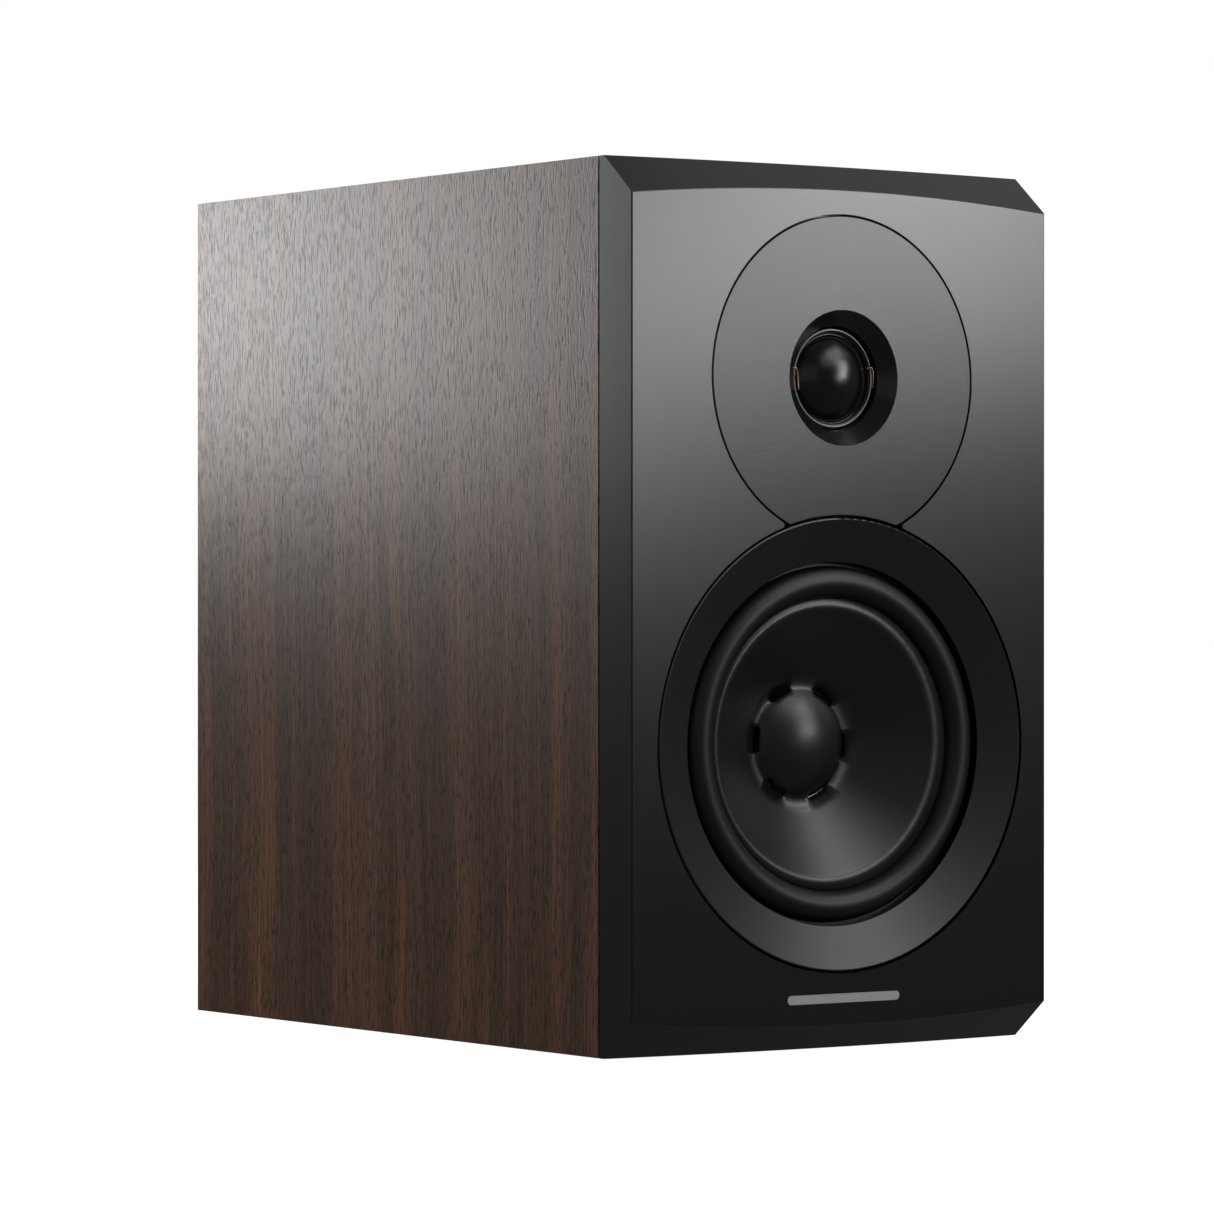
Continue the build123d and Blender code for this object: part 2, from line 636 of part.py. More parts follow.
def make_basket():
    step = TRIM_INNER_RADIUS - 0.1
    floor = ROLL_DEPTH - ROLL_RISE + RUBBER
    throat = ROLL_CENTRE + ROLL_RADIUS - RUBBER - 0.8
    back = FLANGE_DEPTH + FLANGE_THICKNESS
    ring = ledge_outer() + BASKET_WALL
    body = turned(
        outline(
            (TRIM_RADIUS, FLANGE_DEPTH),
            (step, FLANGE_DEPTH),
            (step, floor),
            (throat, floor),
            (throat, back),
            (ledge_outer(), SPIDER_DEPTH),
            (ledge_inner(), SPIDER_DEPTH),
            (ledge_inner(), MOTOR_DEPTH - 4),
            (GAP_RADIUS + 2, MOTOR_DEPTH - 4),
            (GAP_RADIUS + 2, MOTOR_DEPTH),
            (ring, MOTOR_DEPTH),
            (ring, SPIDER_DEPTH + 3),
            (throat + BASKET_WALL + 1, back),
            (TRIM_RADIUS, back),
        ),
        WOOFER_Z,
    )
    near = back + WINDOW_MARGIN
    far = SPIDER_DEPTH - WINDOW_MARGIN
    wedge = sector(TRIM_RADIUS, 360 / WINDOW_COUNT - SPOKE_ANGLE, front(far), far - near)
    for index in range(WINDOW_COUNT):
        body -= Pos(0, 0, WOOFER_Z) * Rot(0, 360 / WINDOW_COUNT * index + 30, 0) * wedge
    lug_top = WOOFER_Z - ring + 4
    half = LUG_WIDTH / 2
    lug_start = front(SPIDER_DEPTH + TERMINAL_SETBACK)
    lug = block(-half, half, lug_start, front(MOTOR_DEPTH), lug_bottom(), lug_top)
    body += lug
    for x, z in around(WOOFER_SCREWS, SCREW_RING, WOOFER_Z, FIRST_SCREW):
        hole = SCREW_RADIUS + SCREW_CLEARANCE
        body -= rod(hole, front(0), front(BAFFLE_THICKNESS), x, z)
    save("woofer_basket", body)


def lug_bottom():
    """Underside of the basket's lug, where the terminal board is riveted."""
    return WOOFER_Z - ledge_outer() - BASKET_WALL - LUG_DROP


def make_woofer_motor():
    plate = tube(GAP_RADIUS, PLATE_RADIUS, front(MOTOR_DEPTH), front(MAGNET_DEPTH), z=WOOFER_Z)
    save("woofer_top_plate", plate)
    magnet = tube(FERRITE_BORE, FERRITE_RADIUS, front(MAGNET_DEPTH), front(BACK_PLATE_DEPTH), z=WOOFER_Z)
    save("woofer_magnet", chamfer(magnet.edges().filter_by(GeomType.CIRCLE).sort_by(SortBy.RADIUS)[-2:], 1.0))
    plate = rod(PLATE_RADIUS, front(BACK_PLATE_DEPTH), front(WOOFER_DEPTH), z=WOOFER_Z)
    plate += rod(POLE_RADIUS, front(MOTOR_DEPTH - 1), front(WOOFER_DEPTH), z=WOOFER_Z)
    plate -= rod(VENT_RADIUS, front(MOTOR_DEPTH - 2), front(WOOFER_DEPTH + 1), z=WOOFER_Z)
    save("woofer_pole_piece", plate)


def woofer_fixings():
    """The woofer's foam gasket and its screws, hidden under the trim ring."""
    hole = SCREW_RADIUS + SCREW_CLEARANCE
    places = around(WOOFER_SCREWS, SCREW_RING, WOOFER_Z, FIRST_SCREW)
    y0 = front(FLANGE_DEPTH + FLANGE_THICKNESS)
    y1 = front(REBATE_DEPTH)
    gasket = tube(WOOFER_HOLE + 0.5, TRIM_RADIUS, y0, y1, z=WOOFER_Z)
    for x, z in places:
        gasket -= rod(hole, y0 - 1, y1 + CUT_PAST, x, z)
    seat = front(FLANGE_DEPTH)
    screws = []
    for x, z in places:
        screw = rod(SCREW_HEAD_RADIUS, seat - SCREW_HEAD_HEIGHT, seat, x, z)
        screw += rod(SCREW_RADIUS, seat, seat + SCREW_LENGTH - 0.5, x, z)
        recess = Pos(x, seat - SCREW_HEAD_HEIGHT, z) * Rot(90, 0, 0) * RegularPolygon(HEX_RADIUS, 6)
        screws.append(screw - extrude(recess, -HEX_RADIUS))
    return gasket, screws


def tab_pair(y0, z):
    """Two flat push-on tabs side by side."""
    middle = TAB_SPACING / 2
    half = TAB_WIDTH / 2
    tabs = []
    for x in (-middle, middle):
        tab = block(x - half, x + half, y0, y0 + TAB_LENGTH, z, z + TAB_THICKNESS)
        tabs.append(tab - Pos(x, y0 + TAB_LENGTH - 3, z) * Cylinder(0.8, 4))
    return tabs


def make_woofer_terminals():
    top = lug_bottom()
    y0 = front(SPIDER_DEPTH + TERMINAL_SETBACK)
    half = TERMINAL_WIDTH / 2
    board = block(-half, half, y0, front(MOTOR_DEPTH), top - BOARD_THICKNESS, top)
    save("woofer_terminal_board", board)
    save("woofer_tabs", *tab_pair(front(MOTOR_DEPTH - 5), top - BOARD_THICKNESS - TAB_THICKNESS))
    x = TAB_SPACING / 2
    board_z = top - BOARD_THICKNESS / 2
    neck_z = WOOFER_Z - COIL_RADIUS - WINDING_WALL - TINSEL_RADIUS - 0.4
    route = [
        (x, y0 - 0.1, board_z),
        (x, y0 - 6, board_z - 1.5),
        (x - 1, y0 - 13, board_z + 1),
        (x - 2, y0 - 15, board_z + 10),
        (x - 4, y0 - 13, board_z + 22),
        (x - 5, y0 - 13.5, neck_z),
    ]
    leads = [cord(TINSEL_RADIUS, route), cord(TINSEL_RADIUS, mirrored(route))]
    save("woofer_tinsel_leads", *leads)


# ---- tweeter -------------------------------------------------------------------------------------
def make_faceplate():
    sketch = Pos(0, TWEETER_Z) * Circle(FACE_RADIUS) - Pos(0, WOOFER_Z) * Circle(TRIM_CUTOUT)
    sketch = fillet(sketch.vertices().filter_by(lambda v: abs(v.X) > 1 and v.Y < TWEETER_Z - 1), FACE_CORNER)
    plate = extrude(Pos(0, front(FACE_THICKNESS), 0) * Rot(90, 0, 0) * sketch, FACE_THICKNESS)
    edges = plate.edges().filter_by(lambda e: abs(e.center().Y - front(0)) < 0.01)
    plate = chamfer(edges, FACE_EDGE)
    horn = outline(
        (0, -1),
        (HORN_MOUTH, -1),
        (HORN_MOUTH, 0),
        (HORN_THROAT, HORN_DEPTH),
        (HORN_THROAT, FACE_THICKNESS + 1),
        (0, FACE_THICKNESS + 1),
    )
    plate -= turned(horn, TWEETER_Z)
    for x, z in around(TWEETER_SCREWS, TWEETER_SCREW_RING, TWEETER_Z, TWEETER_FIRST_SCREW):
        plate -= rod(SCREW_RADIUS + FIT_GAP, front(2), front(FACE_THICKNESS + 1), x, z)
    save("tweeter_faceplate", plate)


def make_tweeter_diaphragm():
    base = DIAPHRAGM_DEPTH
    radius = TWEETER_DOME_RADIUS
    inner = radius - DOME_RIM
    top = base - TWEETER_DOME_HEIGHT
    edges = [
        segment((radius, base + DOME_SEAT), (radius, base)),
        cap_arc(radius, TWEETER_DOME_HEIGHT, base),
        segment((0, top), (0, top + DOME_CLOTH)),
        cap_arc(inner, TWEETER_DOME_HEIGHT - DOME_CLOTH, base),
        segment((inner, base), (inner, base + DOME_SEAT), (radius, base + DOME_SEAT)),
    ]
    save("tweeter_dome", turned(edges, TWEETER_Z))
    centre = radius + TWEETER_ROLL_GAP + TWEETER_ROLL
    foot = radius + TWEETER_FOOT_GAP
    thin = TWEETER_ROLL - DOME_CLOTH
    back = HOUSING_BACK
    roll = [
        segment((foot, base), (centre - TWEETER_ROLL, base)),
        arc((centre - TWEETER_ROLL, base), (centre, base - TWEETER_ROLL), (centre + TWEETER_ROLL, base)),
        segment(
            (centre + TWEETER_ROLL, base),
            (DIAPHRAGM_FOOT, base),
            (DIAPHRAGM_FOOT, back),
            (centre + thin, back),
            (centre + thin, base),
        ),
        arc((centre + thin, base), (centre, base - thin), (centre - thin, base)),
        segment((centre - thin, base), (centre - thin, back), (foot, back), (foot, base)),
    ]
    save("tweeter_surround", turned(roll, TWEETER_Z))
    former_out = inner + DOME_SEAT
    former_top = front(base + DOME_SEAT)
    former_end = former_top + TWEETER_FORMER_LENGTH
    former_in = former_out - TWEETER_FORMER
    save("tweeter_coil_former", tube(former_in, former_out, former_top, former_end, z=TWEETER_Z))
    wound = former_out + TWEETER_WINDING
    winding_end = former_end - TWEETER_FORMER_TAIL
    winding_top = winding_end - TWEETER_WINDING_LENGTH
    save("tweeter_voice_coil", tube(former_out, wound, winding_top, winding_end, z=TWEETER_Z))
    make_tweeter_motor(former_in - TWEETER_COIL_GAP, wound + TWEETER_COIL_GAP)
    left = [
        (-16.75, base - 1.0, 3.0),
        (-15.6, base - 1.75, 3.5),
        (-14.45, base - 1.1, 2.0),
        (-13.9, base - 0.9, -3.8),
    ]
    right = [
        (14.3, base - 1.0, 3.6),
        (15.3, base - 1.75, 4.3),
        (16.5, base - 1.45, 3.2),
        (16.6, base - 1.4, 0.1),
        (16.75, base - 1.0, -2.7),
    ]
    wires = []
    for route in (left, right):
        points = [(x, front(depth), TWEETER_Z + dz) for x, depth, dz in route]
        wires.append(cord(LEAD_RADIUS, points))
    save("tweeter_lead_outs", *wires)


def make_tweeter_motor(pole, gap):
    housing = tube(HORN_THROAT + 0.1, HOUSING_RADIUS, front(FACE_THICKNESS), front(HOUSING_BACK), z=TWEETER_Z)
    housing -= rod(DIAPHRAGM_FOOT + FIT_GAP, front(DIAPHRAGM_DEPTH), front(HOUSING_BACK + 1), z=TWEETER_Z)
    save("tweeter_housing", housing)
    plate_back = front(TWEETER_MAGNET_DEPTH)
    save("tweeter_top_plate", tube(gap, TWEETER_MOTOR_RADIUS, front(HOUSING_BACK), plate_back, z=TWEETER_Z))
    magnet_back = front(TWEETER_BACK_PLATE)
    magnet = tube(TWEETER_FERRITE_BORE, TWEETER_MOTOR_RADIUS, plate_back, magnet_back, z=TWEETER_Z)
    save("tweeter_magnet", magnet)
    end = magnet_back + TWEETER_PLATE + CHAMBER_SEAT
    yoke = rod(TWEETER_MOTOR_RADIUS, magnet_back, end, z=TWEETER_Z)
    yoke += rod(pole, front(HOUSING_BACK + 0.4), end, z=TWEETER_Z)
    yoke -= rod(TWEETER_VENT, front(0), end + 1, z=TWEETER_Z)
    save("tweeter_pole_piece", yoke)
    chamber = rod(CHAMBER_RADIUS, front(CHAMBER_FRONT), front(CHAMBER_BACK), z=TWEETER_Z)
    bore = CHAMBER_RADIUS - CHAMBER_WALL
    chamber -= rod(bore, front(CHAMBER_FRONT - 1), front(CHAMBER_BACK - CHAMBER_WALL), z=TWEETER_Z)
    save("tweeter_rear_chamber", chamber)
    save("tweeter_tabs", *tab_pair(front(CHAMBER_BACK), TWEETER_Z - TAB_THICKNESS / 2))


def tweeter_fixings():
    """The tweeter's foam gasket and its screws, driven from behind the baffle."""
    hole = SCREW_RADIUS + SCREW_CLEARANCE
    places = around(TWEETER_SCREWS, TWEETER_SCREW_RING, TWEETER_Z, TWEETER_FIRST_SCREW)
    y0 = front(FACE_THICKNESS)
    y1 = y0 + TWEETER_GASKET
    gasket = tube(TWEETER_HOLE + 0.5, FACE_RADIUS - 0.5, y0, y1, z=TWEETER_Z)
    gasket -= rod(TRIM_CUTOUT + 1, y0 - 1, y1 + 1, z=WOOFER_Z)
    screws = []
    seat = front(BAFFLE_THICKNESS)
    for x, z in places:
        gasket -= rod(hole, y0 - 1, y1 + CUT_PAST, x, z)
        screw = rod(SCREW_HEAD_RADIUS, seat, seat + SCREW_HEAD_HEIGHT, x, z)
        screws.append(screw + rod(SCREW_RADIUS, front(TWEETER_SCREW_END), seat, x, z))
    return gasket, screws


def make_driver_fixings():
    woofer_gasket, woofer_screws = woofer_fixings()
    tweeter_gasket, tweeter_screws = tweeter_fixings()
    save("driver_gaskets", woofer_gasket, tweeter_gasket)
    save("driver_screws", *woofer_screws, *tweeter_screws)


# ---- port ----------------------------------------------------------------------------------------
def make_port():
    bore = PORT_BORE
    outer = bore + PORT_WALL
    mouth = PORT_MOUTH
    start = DEPTH
    lap = bore + PORT_WALL / 2
    turn = PORT_FLARE * (1 - sqrt(0.5))
    socket_end = start - PORT_SOCKET
    edges = [
        arc((mouth, start), (bore + turn, start - turn), (bore, start - PORT_FLARE)),
        segment(
            (bore, start - PORT_FLARE),
            (bore, socket_end),
            (lap, socket_end),
            (lap, socket_end + PORT_LAP),
            (outer, socket_end + PORT_LAP),
            (outer, start - PORT_FLARE),
            (mouth, start - PORT_FLANGE_THICKNESS),
            (PORT_FLANGE_RADIUS, start - PORT_FLANGE_THICKNESS),
            (PORT_FLANGE_RADIUS, start),
            (mouth, start),
        ),
    ]
    save("port_flange", turned(edges, PORT_Z))
    inner_end = start - PORT_LENGTH
    flare = PORT_INNER_FLARE
    bend = flare * (1 - sqrt(0.5))
    edges = [
        arc((bore, inner_end + flare), (bore + bend, inner_end + bend), (bore + flare, inner_end)),
        segment(
            (bore + flare, inner_end),
            (bore + flare + PORT_WALL, inner_end),
            (outer, inner_end + flare + PORT_WALL),
            (outer, socket_end + PORT_LAP),
            (lap + FIT_GAP, socket_end + PORT_LAP),
            (lap + FIT_GAP, socket_end),
            (bore, socket_end),
            (bore, inner_end + flare),
        ),
    ]
    save("port_tube", turned(edges, PORT_Z))


# ---- terminals -----------------------------------------------------------------------------------
def cup_screw_places():
    """Middles of the four screws in the cup's flange."""
    x = CUP_WIDTH / 2 + CUP_WALL + CUP_LIP / 2
    z = CUP_HEIGHT / 2 + CUP_WALL + CUP_LIP / 2
    return [(sx * x, CUP_Z + sz * z) for sx in (-1, 1) for sz in (-1, 1)]


def make_terminal_cup():
    outer_w = CUP_WIDTH + 2 * CUP_WALL
    outer_h = CUP_HEIGHT + 2 * CUP_WALL
    lip_w = outer_w + 2 * CUP_LIP
    lip_h = outer_h + 2 * CUP_LIP
    lip_floor = BACK - CUP_FLANGE
    cup = rounded_plate(lip_w, lip_h, CUP_CORNER, lip_floor, BACK, CUP_Z)
    cup += rounded_plate(outer_w, outer_h, CUP_CORNER, CUP_BACK, BACK, CUP_Z)
    cup -= rounded_plate(CUP_WIDTH, CUP_HEIGHT, CUP_CORNER - CUP_WALL, CUP_FLOOR, BACK + 1, CUP_Z)
    gasket_floor = lip_floor - CUP_GASKET
    gasket = rounded_plate(lip_w, lip_h, CUP_CORNER, gasket_floor, lip_floor, CUP_Z)
    hole = 2 * CUP_GAP
    gasket -= rounded_plate(outer_w + hole, outer_h + hole, CUP_CORNER, gasket_floor - 1, BACK, CUP_Z)
    head = CUP_SCREW_HEAD
    head_radius = SCREW_HEAD_RADIUS - CUP_SCREW_TRIM
    top = BACK - CUP_SCREW_SUNK
    screws = []
    for x, z in cup_screw_places():
        cup -= rod(SCREW_RADIUS + SCREW_CLEARANCE, lip_floor - 1, BACK + CUT_PAST, x, z)
        cup -= rod(head_radius + CUP_SCREW_SUNK, top - head, BACK + CUT_PAST, x, z)
        gasket -= rod(SCREW_RADIUS + SCREW_CLEARANCE, gasket_floor - 1, BACK, x, z)
        screw = rod(head_radius, top - head, top, x, z)
        screw += rod(SCREW_RADIUS, BACK - SCREW_LENGTH - 1.5, BACK - head, x, z)
        slot = Pos(x, top, z) * Rot(90, 0, 0) * RegularPolygon(CUP_HEX_RADIUS, 6)
        screws.append(screw - extrude(slot, CUP_HEX_DEPTH))
    for x in post_places():
        cup -= rod(POST_RADIUS + FIT_GAP, CUP_BACK - 1, CUP_FLOOR + 1, x, CUP_Z)
    save("terminal_cup", cup)
    save("terminal_gasket", gasket)
    save("terminal_screws", *screws)


def post_places():
    """X places of the two binding posts, red first."""
    return (POST_SPACING / 2, -POST_SPACING / 2)


def make_binding_posts():
    nuts = []
    tags = []
    for colour, x in zip(("red", "black"), post_places()):
        tail = CUP_BACK - POST_TAIL
        post = rod(POST_RADIUS, tail, POST_END, x, CUP_Z)
        post += rod(POST_FLANGE_RADIUS, CUP_FLOOR, CUP_FLOOR + POST_FLANGE, x, CUP_Z)
        post -= rod(SOCKET_RADIUS, POST_END - SOCKET_LENGTH, POST_END + 1, x, CUP_Z)
        save(f"{colour}_binding_post", post)
        bore = POST_RADIUS + THREAD_GAP
        y0 = CUP_FLOOR + POST_FLANGE
        y1 = y0 + WASHER_THICKNESS
        save(f"{colour}_post_washer", tube(bore, POST_FLANGE_RADIUS, y0, y1, x, CUP_Z))
        cap = tube(bore, CAP_RADIUS, y1, y1 + CAP_LENGTH)
        rim = cap.edges().filter_by(GeomType.CIRCLE).sort_by(Axis.Y)[-2:].sort_by(SortBy.RADIUS)[-1]
        cap = chamfer(rim, CAP_CHAMFER)
        for fx, fz in around(CAP_FLUTES, CAP_RADIUS + FLUTE_OFFSET, 0.0):
            cap -= rod(FLUTE_RADIUS, y1 + CAP_COLLAR, y1 + CAP_LENGTH + 1, fx, fz)
        save(f"{colour}_post_cap", Pos(x, 0, CUP_Z) * cap)
        hexagon = RegularPolygon(NUT_ACROSS / 2, 6, major_radius=False)
        blank = extrude(Pos(x, CUP_BACK, CUP_Z) * Rot(90, 0, 0) * hexagon, NUT_THICKNESS)
        nut = blank - rod(POST_RADIUS + FIT_GAP, tail, CUP_BACK + CUT_PAST, x, CUP_Z)
        nuts.append(nut)
        seat = CUP_BACK - NUT_THICKNESS
        tag = rod(NUT_ACROSS / 2, seat - TAG_THICKNESS, seat, x, CUP_Z)
        half = TAG_WIDTH / 2
        tag += block(x - half, x + half, seat - TAG_THICKNESS, seat, CUP_Z - TAG_LENGTH, CUP_Z)
        tags.append(tag - rod(POST_RADIUS + FIT_GAP, tail, CUP_BACK, x, CUP_Z))
        lock = Pos(0, -NUT_THICKNESS - TAG_THICKNESS, 0) * nut
        nuts.append(lock)
    save("post_nuts", *nuts)
    save("solder_tags", *tags)


# ---- crossover -----------------------------------------------------------------------------------
def standoff_places():
    """Middles of the four standoffs under the crossover board."""
    x = BOARD_WIDTH / 2 - STANDOFF_INSET
    ys = (BOARD_FRONT + STANDOFF_INSET, BOARD_REAR - STANDOFF_INSET)
    return [(side * x, y) for side in (-1, 1) for y in ys]


def make_crossover():
    half = BOARD_WIDTH / 2
    under = WALL + STANDOFF_HEIGHT
    board = block(-half, half, BOARD_FRONT, BOARD_REAR, under, BOARD_TOP)
    standoffs = []
    screws = []
    for x, y in standoff_places():
        board -= Pos(x, y, BOARD_TOP) * Cylinder(SCREW_RADIUS + FIT_GAP, 10)
        post = Pos(x, y, WALL + STANDOFF_HEIGHT / 2) * Cylinder(STANDOFF_RADIUS, STANDOFF_HEIGHT)
        bore_depth = STANDOFF_HEIGHT - 2
        bore = Pos(x, y, under - bore_depth / 2 + 0.5) * Cylinder(SCREW_RADIUS + FIT_GAP, bore_depth + 1)
        standoffs.append(post - bore)
        shank = 6.0
        screw = Pos(x, y, BOARD_TOP + 1) * Cylinder(SCREW_HEAD_RADIUS, 2)
        screws.append(screw + Pos(x, y, BOARD_TOP - shank / 2) * Cylinder(SCREW_RADIUS, shank))
    save("crossover_board", board)
    save("crossover_standoffs", *standoffs)
    save("crossover_screws", *screws)
    windings = []
    bobbins = []
    middle_y = (BOARD_FRONT + BOARD_REAR) / 2
    for x, y, radius in ((-30, middle_y + 12, INDUCTOR_RADIUS), (32, middle_y - 10, INDUCTOR_RADIUS - 4)):
        z0 = BOARD_TOP + BOBBIN_WALL
        place = Pos(x, y, z0 + INDUCTOR_HEIGHT / 2)
        bore = Cylinder(BOBBIN_RADIUS + WINDING_GAP, INDUCTOR_HEIGHT + 2 * CUT_PAST)
        windings.append(place * (Cylinder(radius, INDUCTOR_HEIGHT) - bore))
        core = Cylinder(BOBBIN_RADIUS, INDUCTOR_HEIGHT + 2 * BOBBIN_WALL)
        for side in (-1, 1):
            cheek = Pos(0, 0, side * (INDUCTOR_HEIGHT + BOBBIN_WALL) / 2)
            core += cheek * Cylinder(radius + 1, BOBBIN_WALL)
        bobbins.append(place * (core - Cylinder(BOBBIN_RADIUS - BOBBIN_WALL, 3 * INDUCTOR_HEIGHT)))
    save("crossover_inductors", *windings)
    save("inductor_bobbins", *bobbins)
    z = BOARD_TOP + CAPACITOR_RADIUS
    along = CAPACITOR_LENGTH / 2
    capacitors = []
    for x, y in ((32, middle_y + 14), (32, middle_y + 30), (-30, middle_y - 20)):
        body = Pos(x, y, z) * Rot(0, 90, 0) * Cylinder(CAPACITOR_RADIUS, 2 * along)
        capacitors.append(chamfer(body.edges().filter_by(GeomType.CIRCLE), 0.8))
    save("crossover_capacitors", *capacitors)
    resistors = []
    for x, y in ((-30, middle_y - 36), (3, middle_y + 18)):
        lying = (RESISTOR_LENGTH, RESISTOR_SIDE) if x < 0 else (RESISTOR_SIDE, RESISTOR_LENGTH)
        resistors.append(Pos(x, y, BOARD_TOP + RESISTOR_SIDE / 2) * Box(*lying, RESISTOR_SIDE))
    save("crossover_resistors", *resistors)


def make_wires():
    x = TAB_SPACING / 2
    tab_end = front(MOTOR_DEPTH - 5) + TAB_LENGTH + 0.2
    tab_z = lug_bottom() - BOARD_THICKNESS - TAB_THICKNESS / 2
    landing = BOARD_FRONT + 6
    board = BOARD_TOP + 0.1
    woofer = [
        (x, tab_end, tab_z),
        (x, tab_end + 22, tab_z),
        (x + 1, BRACE_Y - 4, tab_z + 6),
        (x + 2, landing - 8, tab_z + 2),
        (x + 1, landing, board + 12),
        (x + 1, landing, board),
    ]
    save("woofer_wires", cord(WIRE_RADIUS, woofer), cord(WIRE_RADIUS, mirrored(woofer)))
    start = front(CHAMBER_BACK) + TAB_LENGTH + 0.2
    top = TWEETER_Z
    end = BOARD_FRONT + 16
    drop = top - board
    tweeter = [
        (x, start, top),
        (x, start + 22, top),
        (x - 1, BRACE_Y - 6, top - 0.14 * drop),
        (x - 2, BRACE_Y + 6, top - 0.36 * drop),
        (x - 3, end - 12, top - 0.58 * drop),
        (x - 3, end - 3, top - 0.78 * drop),
        (x - 2, end, board + 20),
        (x - 3, end, board),
    ]
    save("tweeter_wires", cord(WIRE_RADIUS, tweeter), cord(WIRE_RADIUS, mirrored(tweeter)))
    tag = CUP_BACK - NUT_THICKNESS - TAG_THICKNESS
    post = POST_SPACING / 2
    tag_z = CUP_Z - 12
    supply = [
        (post, tag - 1.1, tag_z),
        (post, tag - 14, tag_z - 2),
        (post - 2, tag - 22, tag_z - 16),
        (post - 4, tag - 16, tag_z - 32),
        (post - 5, BOARD_REAR - 6, board + 10),
        (post - 5, BOARD_REAR - 6, board),
    ]
    save("input_wires", cord(WIRE_RADIUS, supply), cord(WIRE_RADIUS, mirrored(supply)))


def main():
    os.makedirs("parts", exist_ok=True)
    make_baffle()
    make_cabinet()
    make_rear_panel()
    make_brace_and_pads()
    make_trim_ring()
    make_surround()
    make_cone()
    make_moving_coil()
    make_spider()
    make_basket()
    make_woofer_motor()
    make_woofer_terminals()
    make_faceplate()
    make_tweeter_diaphragm()
    make_driver_fixings()
    make_port()
    make_terminal_cup()
    make_binding_posts()
    make_crossover()
    make_wires()


main()
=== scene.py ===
"""Finishes, flexible parts and studio of a two-way bookshelf loudspeaker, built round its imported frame."""

from functools import wraps
from math import acos, cos, degrees, hypot, pi, radians, sin, sqrt

import bmesh
import bpy
from bpy.props import FloatProperty, FloatVectorProperty, IntProperty, PointerProperty
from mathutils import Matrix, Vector, noise
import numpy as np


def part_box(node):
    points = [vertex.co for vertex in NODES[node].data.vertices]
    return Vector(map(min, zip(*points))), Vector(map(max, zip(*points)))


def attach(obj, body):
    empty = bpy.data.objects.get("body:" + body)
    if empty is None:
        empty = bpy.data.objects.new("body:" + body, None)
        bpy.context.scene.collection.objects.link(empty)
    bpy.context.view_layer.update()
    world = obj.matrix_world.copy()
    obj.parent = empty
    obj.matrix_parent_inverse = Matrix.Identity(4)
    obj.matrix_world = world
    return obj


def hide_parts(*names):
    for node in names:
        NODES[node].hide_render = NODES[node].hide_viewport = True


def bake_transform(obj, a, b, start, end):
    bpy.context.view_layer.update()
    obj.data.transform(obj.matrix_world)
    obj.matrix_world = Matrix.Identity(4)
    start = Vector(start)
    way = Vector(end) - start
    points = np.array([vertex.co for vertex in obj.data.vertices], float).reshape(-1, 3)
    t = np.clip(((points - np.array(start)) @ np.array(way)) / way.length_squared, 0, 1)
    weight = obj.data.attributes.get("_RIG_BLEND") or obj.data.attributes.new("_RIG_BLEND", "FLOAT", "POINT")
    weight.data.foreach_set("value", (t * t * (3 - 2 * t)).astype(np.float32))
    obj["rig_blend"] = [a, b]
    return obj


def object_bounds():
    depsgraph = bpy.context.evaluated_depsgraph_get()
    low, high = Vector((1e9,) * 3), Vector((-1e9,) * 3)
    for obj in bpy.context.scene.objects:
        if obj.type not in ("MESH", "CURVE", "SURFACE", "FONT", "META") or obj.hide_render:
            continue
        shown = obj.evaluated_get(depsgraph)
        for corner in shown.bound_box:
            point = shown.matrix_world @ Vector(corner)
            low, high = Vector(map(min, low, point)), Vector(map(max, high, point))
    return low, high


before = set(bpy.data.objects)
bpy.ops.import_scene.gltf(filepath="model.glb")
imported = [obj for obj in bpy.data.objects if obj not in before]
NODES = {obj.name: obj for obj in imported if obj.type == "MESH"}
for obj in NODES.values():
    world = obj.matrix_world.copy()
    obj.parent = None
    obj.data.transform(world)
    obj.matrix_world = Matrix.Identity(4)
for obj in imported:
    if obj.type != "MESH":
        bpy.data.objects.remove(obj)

bl_info = {
    "name": "Bookshelf Speaker Finishes",
    "version": (1, 0, 0),
    "blender": (4, 5, 0),
    "location": "3D View > Sidebar > Speaker",
    "description": "Gives a packed bookshelf loudspeaker its finishes, flexible parts and studio",
    "category": "Object",
}

MM = 0.001
CAD_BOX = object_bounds()


# ---- places from the frame -----------------------------------------------------------------------
def middle(node):
    """Middle of a node's box."""
    low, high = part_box(node)
    return (low + high) / 2


def reach(node):
    """Half the width of a round node."""
    low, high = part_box(node)
    return (high.x - low.x) / 2


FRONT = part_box("front_baffle")[0].y
WOOFER = middle("woofer_trim_ring")
TWEETER = middle("tweeter_dome")


def behind(depth):
    """The Y value this many millimetres behind the baffle's face."""
    return FRONT + depth * MM


def linear(code):
    """A hex colour in sRGB as linear red, green and blue."""
    parts = [int(code[i : i + 2], 16) / 255 for i in (1, 3, 5)]
    return tuple(c / 12.92 if c <= 0.04045 else ((c + 0.055) / 1.055) ** 2.4 for c in parts)


def colour(name, description, code):
    """A colour that a user can change."""
    return FloatVectorProperty(
        name=name, description=description, subtype="COLOR", size=3, min=0, max=1, default=linear(code)
    )


def length(name, description, millimetres):
    """A length that a user can change."""
    return FloatProperty(
        name=name,
        description=description,
        subtype="DISTANCE",
        unit="LENGTH",
        min=0,
        default=millimetres * MM,
    )


